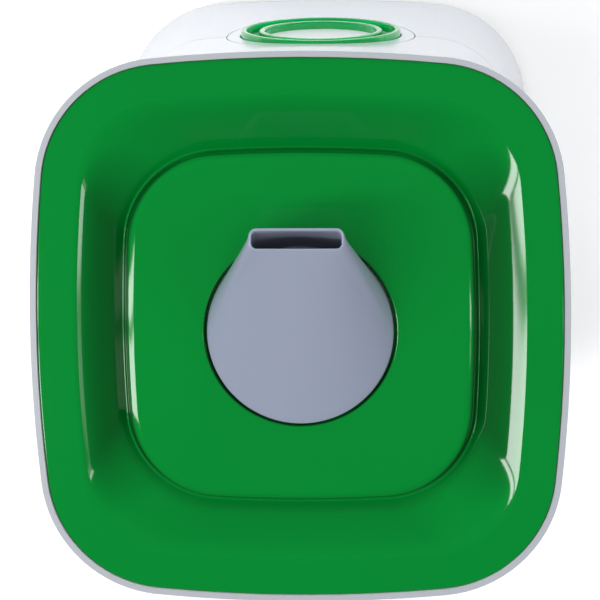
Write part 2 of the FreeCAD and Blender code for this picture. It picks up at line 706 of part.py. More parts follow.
def heat_sink():
    """Finned block on the driver board."""
    front = "-sink_width / 2"
    level = "board_level + board_plate"
    base = box("sink_length", "sink_width", "sink_plate", ("sink_x", front, level))
    pitch = "(sink_length - fin_thick) / (fin_count - 1)"
    root = level + " + sink_plate"
    fins = [
        box("fin_thick", "sink_width", "fin_height", (f"sink_x + {index} * {pitch}", front, root))
        for index in range(int(worth("fin_count")))
    ]
    return fuse([base] + fins)


def build_base():
    """Everything that stays on the table."""
    keep(base_shell(), "base_shell")
    keep(bottom_cover(), "bottom_cover")
    keep(rubber_feet(), "rubber_feet")
    posts = corners_of("post_x", "post_y")
    keep(screws(posts, "foot_height + head_height", "head_radius", "cover_screw", False), "cover_screws")
    keep(water_basin(), "water_basin")
    seat = "basin_floor - basin_wall"
    keep(turned("air_sleeve", [
        ("duct_radius", seat), ("duct_radius + sleeve_wall", seat),
        ("duct_radius + sleeve_wall", "duct_top - sleeve_drop"), ("duct_radius", "duct_top - sleeve_drop"),
    ], ("fan_x", "fan_y", "0")), "air_sleeve")
    keep(screws(posts, "deck_top - basin_screw", "head_radius", "basin_screw", True), "basin_screws")
    keep(turned("transducer_seal", [
        ("sonic_hole", "-sonic_seal_height"), ("sonic_seal", "-sonic_seal_height"),
        ("sonic_seal", "0"), ("sonic_hole", "0"),
    ], ("0", "mist_y", seat)), "transducer_seal")
    keep(turned("transducer", [
        ("0", "-sonic_plate"), ("sonic_radius", "-sonic_plate"), ("sonic_radius", "0"), ("0", "0"),
    ], ("0", "mist_y", seat + " - sonic_seal_height")), "transducer")
    ring = turned("retainer_blank", [
        ("retainer_bore", "-retainer_plate"), ("retainer_radius", "-retainer_plate"),
        ("retainer_radius", "0"), ("retainer_bore", "0"),
    ], ("0", "mist_y", seat + " - sonic_seal_height - sonic_plate"))
    under = seat + " - sonic_seal_height - sonic_plate - retainer_plate"
    holes = [cylinder("shank_radius", "retainer_plate", (x, y, under)) for x, y in RETAINER_SPOTS]
    keep(cut(ring, holes), "transducer_retainer")
    keep(screws(RETAINER_SPOTS, under, "retainer_head", "retainer_plate + sonic_seal_height", False),
         "retainer_screws")
    corner = ("float_x - sensor_length / 2", "float_y - sensor_width / 2", seat + " - sensor_height")
    keep(box("sensor_length", "sensor_width", "sensor_height", corner), "level_sensor")
    keep(fan_housing(), "fan_housing")
    keep(turned("fan_motor", [
        ("fan_shaft + fan_shaft_fit", "0"), ("motor_radius", "0"),
        ("motor_radius", "motor_height"), ("fan_shaft + fan_shaft_fit", "motor_height"),
    ], ("fan_x", "fan_y", "fan_level + fan_strut")), "fan_motor")
    on_cover = ("fan_x", "fan_y", "foot_height + cover_plate")
    keep(cylinder("fan_bore + fan_tip_gap", "filter_plate", on_cover), "air_filter")
    duct_low = "fan_level + fan_height"
    plate = box(
        "fan_size", "fan_size", "duct_flange", ("fan_x - fan_size / 2", "fan_y - fan_size / 2", duct_low)
    )
    funnel_inside = "funnel_foot - duct_wall"
    bore_inside = "duct_radius - duct_wall"
    pipe_top = "duct_top - fan_level - fan_height"
    pipe = turned("duct_pipe", [
        (funnel_inside, "0"), ("funnel_foot", "0"), ("funnel_foot", "duct_flange"),
        ("duct_radius", "funnel_height"), ("duct_radius", pipe_top), (bore_inside, pipe_top),
        (bore_inside, "funnel_height"), (funnel_inside, "duct_flange"),
    ], ("fan_x", "fan_y", duct_low))
    bore = cylinder("funnel_foot - duct_wall / 2", "duct_flange", ("fan_x", "fan_y", duct_low))
    reach = "(fan_size / 2 - fan_screw_inset)"
    fan_holes = [(f"fan_x + {x} * {reach}", f"fan_y + {y} * {reach}") for x in (-1, 1) for y in (-1, 1)]
    holes = [cylinder("shank_radius", "duct_flange", (x, y, duct_low)) for x, y in fan_holes]
    keep(fuse([cut(plate, [bore] + holes), pipe]), "air_duct")
    keep(screws(fan_holes, "fan_level - fan_screw_tip", "head_radius",
                "fan_height + duct_flange + fan_screw_tip", True), "fan_screws")
    keep(circuit_board(DRIVER_BOARD), "driver_board")
    keep(heat_sink(), "heat_sink")
    keep(circuit_board(POWER_BOARD), "power_board")
    on_board = "board_level + board_plate"
    keep(box("coil_length", "coil_width", "coil_height", ("coil_x", "coil_y", on_board)), "transformer")
    cans = ("can_front", "can_front + can_pitch")
    keep(group([cylinder("can_radius", "can_height", ("can_x", y, on_board)) for y in cans]), "capacitors")
    tip = on_board + " - board_screw"
    keep(screws(BOARD_POSTS, tip, "head_radius", "board_screw", True), "board_screws")
    gland = turned("cord_gland", [
        ("gland_bore", "0"), ("gland_flange", "0"), ("gland_flange", "-gland_lip"),
        ("gland_body", "-gland_lip"), ("gland_body", "-gland_length"), ("gland_bore", "-gland_length"),
    ])
    rear = upright_face(worth("gland_level - gland_flange")) + worth("gland_lip")
    gland.Placement = FreeCAD.Placement(
        FreeCAD.Vector(0, rear, worth("gland_level")), FreeCAD.Rotation(FreeCAD.Vector(1, 0, 0), -90)
    )
    keep(gland, "cord_gland")


# ---- control panel and knob --------------------------------------------------------------------

def control_panel():
    """Round skin that follows the front face, with a recessed cup for the knob."""
    low = worth("seam_level - panel_radius - panel_margin")
    high = worth("seam_level + panel_radius + panel_margin")
    skin = tower(low, high).cut(tower(low, high, worth("panel_skin")))
    skin = skin.common(panel_bore(worth("panel_radius"), PAST, PAST))
    cup = panel_bore(worth("knob_recess + cup_wall"), 0, worth("recess_depth + cup_back"))
    cup = cup.common(tower(low, high, worth("cup_front")))
    panel = skin.fuse(cup).cut(panel_bore(worth("knob_recess"), PAST, worth("recess_depth")))
    return solid(panel.cut(panel_bore(worth("hub_radius + hub_play"), 0, PAST)).removeSplitter())


def build_controls():
    """Panel, housing and rotary control, all on the knob's leaning axis."""
    keep(control_panel(), "control_panel")
    back = "-housing_depth"
    keep(on_panel(turned("panel_housing", [
        ("0", back), ("housing_radius", back), ("housing_radius", "-housing_front"),
        ("housing_radius - housing_wall", "-housing_front"),
        ("housing_radius - housing_wall", back + " + housing_wall"), ("0", back + " + housing_wall"),
    ])), "panel_housing")
    bore = "knob_shaft + shaft_fit"
    keep(on_panel(turned("rotary_control", [
        ("0", back + " + housing_wall"), ("dial_radius", back + " + housing_wall"),
        ("dial_radius", "-dial_front"), ("dial_bush", "-dial_front"),
        ("dial_bush", "-hub_back - bush_play"), (bore, "-hub_back - bush_play"),
        (bore, "-shaft_back - shaft_play"), ("0", "-shaft_back - shaft_play"),
    ])), "rotary_control")
    keep(on_panel(turned("control_board", [
        ("dial_bush", "-dial_front"), ("housing_radius - housing_wall", "-dial_front"),
        ("housing_radius - housing_wall", "-dial_front + board_plate"),
        ("dial_bush", "-dial_front + board_plate"),
    ])), "control_board")
    keep(on_panel(turned("knob_ring", [
        ("inner_lip - inner_lip_wall", "-knob_back"), ("knob_radius", "-knob_back"),
        ("knob_radius", "knob_proud"), ("knob_radius - lip_wall", "knob_proud"),
        ("knob_radius - lip_wall", "-groove_depth"), ("inner_lip", "-groove_depth"),
        ("inner_lip", "inner_proud"), ("inner_lip - inner_lip_wall", "inner_proud"),
    ])), "knob_ring")
    face = "-cap_recess"
    keep(on_panel(turned("knob_cap", [
        ("0", face), ("inner_lip - inner_lip_wall", face),
        ("inner_lip - inner_lip_wall", face + " - cap_thick"), ("hub_radius", face + " - cap_thick"),
        ("hub_radius", "-hub_back"), ("knob_shaft", "-hub_back"),
        ("knob_shaft", face + " - cap_thick"), ("0", face + " - cap_thick"),
    ])), "knob_cap")
    keep(on_panel(turned("knob_shaft", [
        ("0", "-shaft_back"), ("knob_shaft", "-shaft_back"),
        ("knob_shaft", face + " - cap_thick"), ("0", face + " - cap_thick"),
    ])), "knob_shaft")


# ---- tank --------------------------------------------------------------------------------------


def floor_level():
    """Underside of the tank's floor."""
    return worth("seam_level + floor_gap")


def tank_shell():
    """Tall waisted wall with a ledge for the floor and the alcove round the control panel."""
    foot = worth("seam_level + seam_gap")
    high = worth("height")
    floor = floor_level()
    ledge = worth("height - lid_drop - lid_height - seal_height")
    outer = tower(foot, high, sections=TALL_SECTIONS)
    hollow = tower(floor, high, worth("tank_wall"), TALL_SECTIONS)
    counter = tower(ledge, high, worth("rim_wall"), SHORT_SECTIONS)
    skirt = tower(foot, floor, worth("tank_wall + floor_ledge"), SHORT_SECTIONS)
    shell = outer.cut(hollow).cut(skirt).cut(counter)
    above = tower(floor, high, sections=TALL_SECTIONS)
    shell = shell.fuse(alcove_block().common(above))
    return solid(shell.cut(panel_bore(worth("panel_radius + seam_gap"), PAST, alcove_back())))


def alcove_back():
    """Depth of the alcove behind the front face."""
    return worth("housing_depth + alcove_gap")


def alcove_block():
    """Outside of the alcove's wall."""
    wall = worth("alcove_wall")
    return panel_bore(worth("panel_radius + seam_gap") + wall, PAST, alcove_back() + wall)


def tank_floor():
    """Welded floor plate with holes for the mist tube and the filler neck."""
    floor = floor_level()
    top = floor + worth("tank_floor")
    plate = tower(floor, top, worth("tank_wall + weld_gap"), SHORT_SECTIONS)
    plate = plate.cut(alcove_block())
    for radius, along_y in (("tube_foot", "mist_y"), ("neck_radius", "neck_y")):
        spot = FreeCAD.Vector(0, worth(along_y), floor)
        plate = plate.cut(Part.makeCylinder(worth(radius), worth("tank_floor"), spot))
    return solid(plate)


def lid_ring(share, level):
    """Outline between the band's inner edge (share 0) and the foot of the pad (share 1)."""
    inset = worth("rim_wall + lid_gap + lid_band")
    floor = worth("channel_floor")
    band = (worth("width / 2") - inset, worth("depth / 2") - inset,
            worth("side_arc") - inset, worth("corner_arc") - inset)
    foot = (worth("pad_half_x") + floor, worth("pad_half_y") + floor,
            worth("side_arc") - inset + floor, worth("pad_corner") + floor)
    sizes = [first + (last - first) * share for first, last in zip(band, foot)]
    return ring_of_arcs(*sizes, level)


def channel_fall(share):
    """Depth of the channel below the band: it starts level and straightens into an even slope."""

    def eased(part):
        return part - (1 - math.exp(-SLOPE_BEND * part)) / SLOPE_BEND

    return worth("channel_depth") * eased(share) / eased(1)


def pad_block(shrink, low, high):
    """Raised pad of the lid, drawn in by a wall when it is the hollow under it."""
    side = worth("side_arc - rim_wall - lid_gap - lid_band")
    ring = ring_of_arcs(
        worth("pad_half_x") - shrink, worth("pad_half_y") - shrink,
        side - shrink, worth("pad_corner") - shrink, low,
    )
    return slab(ring, high - low)


def lid():
    """Raised centre pad inside a sloping channel inside a flat band, with a collar for the nozzle."""
    top = worth("height - lid_drop")
    low = top - worth("lid_height")
    edge = worth("rim_wall + lid_gap")
    skin = worth("lid_skin")
    pad_top = top - worth("pad_drop")
    body = tower(low, top, edge, SHORT_SECTIONS)
    slope = []
    for index in range(SLOPE_SECTIONS):
        share = index / (SLOPE_SECTIONS - 1)
        slope.append(lid_ring(share, top - channel_fall(share)))
    bowl = Part.makeLoft(slope, True, False)
    pad = pad_block(0, low, pad_top)
    rim_edges = [item for item in pad.Edges if abs(item.CenterOfMass.z - pad_top) < SAME_LEVEL]
    body = body.cut(bowl).fuse(pad.makeFillet(worth("pad_edge"), rim_edges))
    band = edge + worth("lid_band")
    under_band = tower(low, top - skin, edge + skin, SHORT_SECTIONS)
    under_band = under_band.cut(slab(outline(band - skin, low), worth("lid_height")))
    body = body.cut(pad_block(skin, low, pad_top - skin)).cut(under_band)
    axis = FreeCAD.Vector(0, worth("mist_y"), top - worth("collar_depth"))
    collar_tall = worth("collar_depth - pad_drop - lid_skin / 2")
    collar = Part.makeCylinder(worth("nozzle_hole + collar_wall"), collar_tall, axis)
    body = body.fuse(collar)
    body = body.cut(Part.makeCylinder(worth("seat_hole"), worth("collar_depth"), axis))
    seat = FreeCAD.Vector(0, worth("mist_y"), top - worth("nozzle_seat"))
    body = body.cut(Part.makeCylinder(worth("nozzle_hole"), worth("nozzle_seat"), seat))
    return solid(body)


def build_tank():
    """Vessel, mist tube, lid and their seals."""
    keep(tank_shell(), "tank_shell")
    keep(tank_floor(), "tank_floor")
    neck_top = "seam_level + floor_gap + tank_floor"
    keep(turned("filler_neck", [
        ("neck_radius - neck_wall", "neck_end"), ("neck_radius", "neck_end"),
        ("neck_radius", neck_top), ("neck_radius - neck_wall", neck_top),
    ], ("0", "neck_y", "0")), "filler_neck")
    keep(lid(), "lid")
    ledge = worth("height - lid_drop - lid_height - seal_height")
    edge = worth("rim_wall + lid_gap")
    under = ledge + worth("seal_height")
    inner = tower(ledge, under, edge + worth("tank_wall"), SHORT_SECTIONS)
    ring = tower(ledge, under, edge, SHORT_SECTIONS).cut(inner)
    keep(solid(ring), "lid_seal")
    head = "height - lid_drop - neck_tube_depth - tube_end"
    foot = "seam_level + floor_gap - tube_drop"
    wide = "seam_level + floor_gap + tank_floor"
    bead_top = wide + " + tube_bead"
    keep(turned("mist_tube", [
        ("tube_foot - tube_wall", foot), ("tube_foot", foot), ("tube_foot", wide),
        ("tube_foot + tube_bead", wide), ("tube_foot + tube_bead", bead_top), ("tube_foot", bead_top),
        ("tube_head", head), ("tube_head - tube_wall", head), ("tube_foot - tube_wall", bead_top),
    ], ("0", "mist_y", "0")), "mist_tube")
    seal_low = "height - lid_drop - collar_depth"
    keep(turned("tube_seal", [
        ("tube_head", seal_low), ("seat_hole", seal_low), ("seat_hole", seal_low + " + tube_seal_height"),
        ("tube_head", seal_low + " + tube_seal_height"),
    ], ("0", "mist_y", "0")), "tube_seal")


def build_cap():
    """Quarter-turn tank cap with its gasket and the sprung outlet valve."""
    spot = ("0", "neck_y", "0")
    inside = "neck_radius + neck_fit"
    plate_top = "cap_bottom + cap_plate"
    guide = "stem_radius + stem_fit"
    cup = turned("cap_cup", [
        (guide, "cap_bottom"), (inside + " + cap_wall", "cap_bottom"), (inside + " + cap_wall", "cap_top"),
        (inside, "cap_top"), (inside, plate_top), (guide, plate_top),
    ], spot)
    grips = [
        cylinder("grip_radius", "cap_top - cap_bottom - 2 * grip_margin", (
            f"({inside} + cap_wall) * cos({angle})",
            f"neck_y + ({inside} + cap_wall) * sin({angle})",
            "cap_bottom + grip_margin",
        ))
        for angle in range(0, 360, GRIP_STEP)
    ]
    ports = [
        cylinder("port_radius", "cap_plate", (
            f"port_ring * cos({angle})", f"neck_y + port_ring * sin({angle})", "cap_bottom"
        ))
        for angle in range(0, 360, PORT_STEP)
    ]
    keep(cut(fuse([cup] + grips), ports), "tank_cap")
    keep(turned("cap_gasket", [
        ("neck_radius - neck_wall", plate_top), ("neck_radius", plate_top),
        ("neck_radius", "neck_end"), ("neck_radius - neck_wall", "neck_end"),
    ], spot), "cap_gasket")
    lifted = plate_top + " + valve_travel"
    seal_top = lifted + " + valve_disc_height"
    head_top = seal_top + " + stem_head"
    keep(turned("valve_stem", [
        ("0", "stem_foot"), ("stem_flange", "stem_foot"), ("stem_flange", "stem_foot + flange_plate"),
        ("stem_radius", "stem_foot + flange_plate"), ("stem_radius", seal_top),
        ("stem_flange", seal_top), ("stem_flange", head_top), ("0", head_top),
    ], spot), "valve_stem")
    keep(turned("valve_seal", [
        ("stem_radius", lifted), ("valve_disc", lifted),
        ("valve_disc", seal_top), ("stem_radius", seal_top),
    ], spot), "valve_seal")
    keep(solid(valve_spring()), "valve_spring")


def valve_spring():
    """Coil between the cap and the stem's flange."""
    wire = worth("spring_wire")
    low = worth("stem_foot + flange_plate + spring_wire")
    tall = worth("cap_bottom - spring_wire") - low
    path = Part.makeHelix(tall / worth("spring_turns"), tall, worth("spring_radius"))
    start = path.Vertexes[0].Point
    section = Part.Wire(Part.makeCircle(wire, start, BACK))
    coil = Part.Wire(path.Edges).makePipeShell([section], True, True)
    coil.translate(FreeCAD.Vector(0, worth("neck_y"), low))
    return coil


# ---- nozzle ------------------------------------------------------------------------------------

def wheel_of_arcs(radius, level):
    """Circle cut into the eight arcs that the mouth's eight edges grow from."""
    bearing = [math.radians(-stop) for stop in MOUTH_STOPS] + [math.radians(-MOUTH_STOPS[0] - 360)]
    middle = FreeCAD.Vector(0, worth("mist_y"), level)

    def rim(angle):
        return middle + FreeCAD.Vector(math.cos(angle), math.sin(angle), 0) * radius

    arcs = []
    for first, last in zip(bearing, bearing[1:]):
        arcs.append(Part.Arc(rim(first), rim((first + last) / 2), rim(last)).toShape())
    return Part.Wire(arcs)


def mouth(half_x, half_y, corner, level):
    """Rounded slot of the nozzle's mouth, its edges in the same order as the circle's arcs."""
    centre = FreeCAD.Vector(0, worth("mist_y - mouth_forward"), level)

    def spot(x, y):
        return centre + FreeCAD.Vector(x, y, 0)

    bend = corner * (1 - math.sqrt(0.5))
    flat_x = half_x - corner
    flat_y = half_y - corner
    points = [
        (spot(flat_x, half_y), spot(half_x - bend, half_y - bend), spot(half_x, flat_y)),
        (spot(half_x, flat_y), None, spot(half_x, -flat_y)),
        (spot(half_x, -flat_y), spot(half_x - bend, bend - half_y), spot(flat_x, -half_y)),
        (spot(flat_x, -half_y), None, spot(-flat_x, -half_y)),
        (spot(-flat_x, -half_y), spot(bend - half_x, bend - half_y), spot(-half_x, -flat_y)),
        (spot(-half_x, -flat_y), None, spot(-half_x, flat_y)),
        (spot(-half_x, flat_y), spot(bend - half_x, half_y - bend), spot(-flat_x, half_y)),
        (spot(-flat_x, half_y), None, spot(flat_x, half_y)),
    ]
    edges = []
    for first, middle, last in points:
        curve = Part.Arc(first, middle, last) if middle else Part.LineSegment(first, last)
        edges.append(curve.toShape())
    return Part.Wire(edges)


def nozzle():
    """Round foot that rises and narrows into a slot at the front, hollow all through."""
    face = worth("height - lid_drop")
    pad = face - worth("pad_drop")
    seat = face - worth("nozzle_seat - seat_seal")
    wall = worth("nozzle_wall")
    radius = worth("nozzle_radius")
    rise = worth("mouth_rise")
    lip = worth("mouth_wall")
    start = worth("inner_start")
    outer = Part.makeLoft([
        wheel_of_arcs(radius, pad),
        mouth(worth("mouth_half_x"), worth("mouth_half_y"), worth("mouth_corner"), pad + rise),
    ], True, True)
    inner = Part.makeLoft([
        wheel_of_arcs(radius - wall, pad - start),
        mouth(worth("mouth_half_x") - lip, worth("mouth_half_y") - lip, worth("mouth_corner") - lip,
              pad + rise),
    ], True, True)
    foot_spot = FreeCAD.Vector(0, worth("mist_y"), seat)
    neck_low = face - worth("neck_tube_depth")
    neck_spot = FreeCAD.Vector(0, worth("mist_y"), neck_low)
    body = outer.fuse(Part.makeCylinder(radius, pad - seat, foot_spot))
    body = body.fuse(Part.makeCylinder(worth("neck_tube"), seat + wall - neck_low, neck_spot))
    step_spot = FreeCAD.Vector(0, worth("mist_y"), seat + wall)
    body = body.cut(Part.makeCylinder(radius - wall, pad - start - seat - wall, step_spot))
    body = body.cut(Part.makeCylinder(worth("neck_tube") - wall, seat + wall - neck_low, neck_spot))
    return solid(body.cut(inner))


def build_nozzle():
    """Nozzle and the soft ring that it turns on."""
    low = "height - lid_drop - nozzle_seat"
    keep(turned("nozzle_seal", [
        ("neck_tube + seal_play", low), ("nozzle_radius", low),
        ("nozzle_radius", low + " + seat_seal"), ("neck_tube + seal_play", low + " + seat_seal"),
    ], ("0", "mist_y", "0")), "nozzle_seal")
    keep(nozzle(), "nozzle")


def build_moving_base_parts():
    """Fan rotor and float, which move inside the base."""
    keep(fan_rotor(), "fan_rotor")
    shaft_low = "fan_level + fan_strut"
    shaft_tall = "rotor_rise + rotor_height - fan_strut"
    keep(cylinder("fan_shaft", shaft_tall, ("fan_x", "fan_y", shaft_low)), "fan_shaft")
    base = "basin_floor + float_rest"
    keep(turned("float", [
        ("float_post + float_fit", "0"), ("magnet_inner", "0"), ("magnet_inner", "magnet_height"),
        ("magnet_outer", "magnet_height"), ("magnet_outer", "0"), ("float_radius", "0"),
        ("float_radius", "float_height"), ("float_post + float_fit", "float_height"),
    ], ("float_x", "float_y", base)), "float")
    keep(turned("float_magnet", [
        ("magnet_inner", "0"), ("magnet_outer", "0"),
        ("magnet_outer", "magnet_height"), ("magnet_inner", "magnet_height"),
    ], ("float_x", "float_y", base)), "float_magnet")


def export_pieces():
    """Check every piece and write one STEP file for each."""
    doc.recompute()
    for item in doc.Objects:
        if "Invalid" in item.State or "Error" in item.State:
            raise RuntimeError(f"{item.Label} failed: {item.State}")
    for item in PIECES:
        if item.Shape.isNull() or not item.Shape.isValid():
            raise RuntimeError(f"{item.Label} has no valid shape")
    os.makedirs("parts", exist_ok=True)
    for item in PIECES:
        item.Shape.exportStep(os.path.join("parts", item.Label + ".step"))
        print(f"{item.Label}: {len(item.Shape.Solids)} solids, {item.Shape.Volume / 1000:.2f} cm3")


build_base()
build_controls()
build_moving_base_parts()
build_tank()
build_cap()
build_nozzle()
export_pieces()
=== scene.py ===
"""Cool-mist humidifier: finely shaped lid, nozzle and knob, finishes for every piece, and a studio."""
import logging
import math
from abc import ABC, abstractmethod
from dataclasses import dataclass, field
from enum import Enum
from typing import Sequence

import bmesh
import bpy
from mathutils import Matrix, Vector


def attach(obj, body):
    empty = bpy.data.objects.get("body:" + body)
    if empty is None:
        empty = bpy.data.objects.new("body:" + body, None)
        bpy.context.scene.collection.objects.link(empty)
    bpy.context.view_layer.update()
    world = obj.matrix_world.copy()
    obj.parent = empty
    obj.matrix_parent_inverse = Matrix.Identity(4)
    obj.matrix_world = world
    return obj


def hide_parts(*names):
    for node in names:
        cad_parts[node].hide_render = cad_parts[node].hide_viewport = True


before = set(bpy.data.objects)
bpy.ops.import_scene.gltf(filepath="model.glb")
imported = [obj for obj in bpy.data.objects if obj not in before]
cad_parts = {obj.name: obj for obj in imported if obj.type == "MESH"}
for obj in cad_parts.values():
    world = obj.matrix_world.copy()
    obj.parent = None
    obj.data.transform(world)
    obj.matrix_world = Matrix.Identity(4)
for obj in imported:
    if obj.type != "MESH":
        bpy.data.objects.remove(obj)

LOG = logging.getLogger("humidifier")
MM = 0.001
CORNER_SHARE = 0.48  # most of a profile's side that one rounding may take
SAME_POINT = 0.0000005  # metres within which two points are one

Colour = tuple[float, float, float]
Spot = tuple[float, float]
Socket = bpy.types.NodeSocket


# ---- finishes --------------------------------------------------------------------------------


class Slot(Enum):
    """Finish slots of the record, one for each kind of stuff the humidifier is made of."""

    WHITE_GLOSS = "white_gloss"
    WHITE_SATIN = "white_satin"
    GREEN_GLOSS = "green_gloss"
    GREEN_CLEAR = "green_clear"
    SMOKE_CLEAR = "smoke_clear"
    GREY_PLASTIC = "grey_plastic"
    BLACK_PLASTIC = "black_plastic"
    RUBBER = "rubber"
    SILICONE = "silicone"
    STEEL = "steel"
    MAGNET = "magnet"
    PIEZO = "piezo"
    ALUMINIUM = "aluminium"
    BOARD = "board"
    FOAM = "foam"


class StuffGraph:
    """Node graph of one finish, grown round its Principled shader."""

    def __init__(self, name: str) -> None:
        """Start an empty finish.

        Args:
            name: Name of the material.
        """
        self.material = bpy.data.materials.new(name)
        self.material.use_nodes = True
        self.tree = self.material.node_tree
        self.shader = self.tree.nodes["Principled BSDF"]
        self.place = self.tree.nodes.new("ShaderNodeTexCoord").outputs["Object"]

    def stretched(self, scale: tuple[float, float, float]) -> Socket:
        """Place in the piece, stretched along its axes.

        Args:
            scale: Factor along X, Y and Z.

        Returns:
            The stretched coordinates.
        """
        mapping = self.tree.nodes.new("ShaderNodeMapping")
        mapping.inputs["Scale"].default_value = scale
        self.tree.links.new(self.place, mapping.inputs["Vector"])
        return mapping.outputs["Vector"]

    def grain(self, scale: float, detail: float = 2.0, place: Socket | None = None) -> Socket:
        """Soft noise over the piece.

        Args:
            scale: Grains to the metre.
            detail: Octaves of finer noise.
            place: Coordinates to use instead of the piece's own.

        Returns:
            The noise, from 0 to 1.
        """
        noise = self.tree.nodes.new("ShaderNodeTexNoise")
        noise.inputs["Scale"].default_value = scale
        noise.inputs["Detail"].default_value = detail
        self.tree.links.new(place or self.place, noise.inputs["Vector"])
        return noise.outputs["Fac"]

    def cells(self, scale: float, place: Socket | None = None) -> Socket:
        """Cell pattern over the piece.

        Args:
            scale: Cells to the metre.
            place: Coordinates to use instead of the piece's own.

        Returns:
            Distance from the middle of each cell.
        """
        voronoi = self.tree.nodes.new("ShaderNodeTexVoronoi")
        voronoi.inputs["Scale"].default_value = scale
        self.tree.links.new(place or self.place, voronoi.inputs["Vector"])
        return voronoi.outputs["Distance"]

    def spread(
        self, value: Socket, low: float, high: float, start: float = 0.3, stop: float = 0.7
    ) -> Socket:
        """Stretch a pattern between two numbers.

        Args:
            value: The pattern.
            low: Number at the start of the pattern's range.
            high: Number at the end of the pattern's range.
            start: Pattern value that gives the low number.
            stop: Pattern value that gives the high number.

        Returns:
            The stretched pattern.
        """
        node = self.tree.nodes.new("ShaderNodeMapRange")
        for name, number in (("From Min", start), ("From Max", stop), ("To Min", low), ("To Max", high)):
            node.inputs[name].default_value = number
        self.tree.links.new(value, node.inputs["Value"])
        return node.outputs["Result"]

    def shade(self, value: Socket, first: Colour, second: Colour) -> Socket:
        """Colour that follows a pattern.

        Args:
            value: The pattern, from 0 to 1.
            first: Colour at 0.
            second: Colour at 1.

        Returns:
            The mixed colour.
        """
        ramp = self.tree.nodes.new("ShaderNodeValToRGB")
        ramp.color_ramp.elements[0].color = (*first, 1.0)
        ramp.color_ramp.elements[1].color = (*second, 1.0)
        self.tree.links.new(value, ramp.inputs["Fac"])
        return ramp.outputs["Color"]

    def facing(self, axis: str) -> Socket:
        """How far the surface faces along an axis, either way.

        Args:
            axis: X, Y or Z.

        Returns:
            The size of that part of the surface's direction, from 0 to 1.
        """
        surface = self.tree.nodes.new("ShaderNodeNewGeometry")
        split = self.tree.nodes.new("ShaderNodeSeparateXYZ")
        self.tree.links.new(surface.outputs["Normal"], split.inputs["Vector"])
        size = self.tree.nodes.new("ShaderNodeMath")
        size.operation = "ABSOLUTE"
        self.tree.links.new(split.outputs[axis], size.inputs[0])
        return size.outputs["Value"]

    def dimmed(self, colour: Socket, share: Socket) -> Socket:
        """Colour scaled by a pattern.

        Args:
            colour: The colour.
            share: The scale, 1 for unchanged.

        Returns:
            The scaled colour.
        """
        scaled = self.tree.nodes.new("ShaderNodeVectorMath")
        scaled.operation = "SCALE"
        self.tree.links.new(colour, scaled.inputs[0])
        self.tree.links.new(share, scaled.inputs["Scale"])
        return scaled.outputs["Vector"]

    def relief(self, layers: Sequence[tuple[Socket, float]]) -> None:
        """Bump the surface by one or more patterns.

        Args:
            layers: Pairs of a pattern and its height in metres.
        """
        under: Socket | None = None
        for pattern, height in layers:
            bump = self.tree.nodes.new("ShaderNodeBump")
            bump.inputs["Strength"].default_value = 1.0
            bump.inputs["Distance"].default_value = height
            self.tree.links.new(pattern, bump.inputs["Height"])
            if under is not None:
                self.tree.links.new(under, bump.inputs["Normal"])
            under = bump.outputs["Normal"]
        self.tree.links.new(under, self.shader.inputs["Normal"])

    def feed(self, socket: str, value: Socket) -> None:
        """Lead a pattern into a socket of the shader."""
        self.tree.links.new(value, self.shader.inputs[socket])

    def settle(self, numbers: dict[str, float]) -> None:
        """Set uniform numbers on the shader's own sockets."""
        for socket, number in numbers.items():
            self.shader.inputs[socket].default_value = number


@dataclass(frozen=True)
class Finish(ABC):
    """What a piece is made of, as a procedural material."""

    slot: Slot
    colour: Colour
    shadow: Colour

    @abstractmethod
    def grow(self, graph: StuffGraph) -> None:
        """Add this finish's patterns to a graph."""

    def pigment(self, graph: StuffGraph, pattern: Socket, start: float = 0.3, stop: float = 0.7) -> None:
        """Let a pattern mix the finish's two colours.

        Args:
            graph: Graph of the finish.
            pattern: The pattern.
            start: Pattern value that gives the main colour.
            stop: Pattern value that gives the second colour.
        """
        share = graph.spread(pattern, 0.0, 1.0, start, stop)
        graph.feed("Base Color", graph.shade(share, self.colour, self.shadow))

    def polish(self, graph: StuffGraph, pattern: Socket, smooth: float, rough: float) -> None:
        """Let a pattern vary the roughness.

        Args:
            graph: Graph of the finish.
            pattern: The pattern.
            smooth: Roughness where the pattern is low.
            rough: Roughness where the pattern is high.
        """
        graph.feed("Roughness", graph.spread(pattern, smooth, rough))

    def material(self) -> bpy.types.Material:
        """Material of this finish, made once.

        Returns:
            The material.
        """
        name = f"{self.slot.value}_{type(self).__name__.lower()}"
        if name in bpy.data.materials:
            return bpy.data.materials[name]
        graph = StuffGraph(name)
        self.grow(graph)
        return graph.material


@dataclass(frozen=True)
class PolishedPlastic(Finish):
    """High-gloss moulded plastic with a faint flow in its skin."""

    roughness: float = 0.12
    flow_height: float = 0.00001
    coat: float = 0.3
    haze_height: float = 0.0000004

    def grow(self, graph: StuffGraph) -> None:
        """Give the plastic cloudy pigment, an uneven polish and a faint flow.

        Args:
            graph: Graph of the finish.
        """
        self.pigment(graph, graph.grain(14.0, 1.0), 0.2, 0.8)
        self.polish(graph, graph.grain(60.0, 2.0), self.roughness * 0.97, self.roughness * 1.03)
        graph.relief([
            (graph.grain(45.0, 1.0), self.flow_height), (graph.grain(1800.0, 1.0), self.haze_height),
        ])
        graph.settle({"IOR": 1.49, "Coat Weight": self.coat, "Coat Roughness": 0.04})


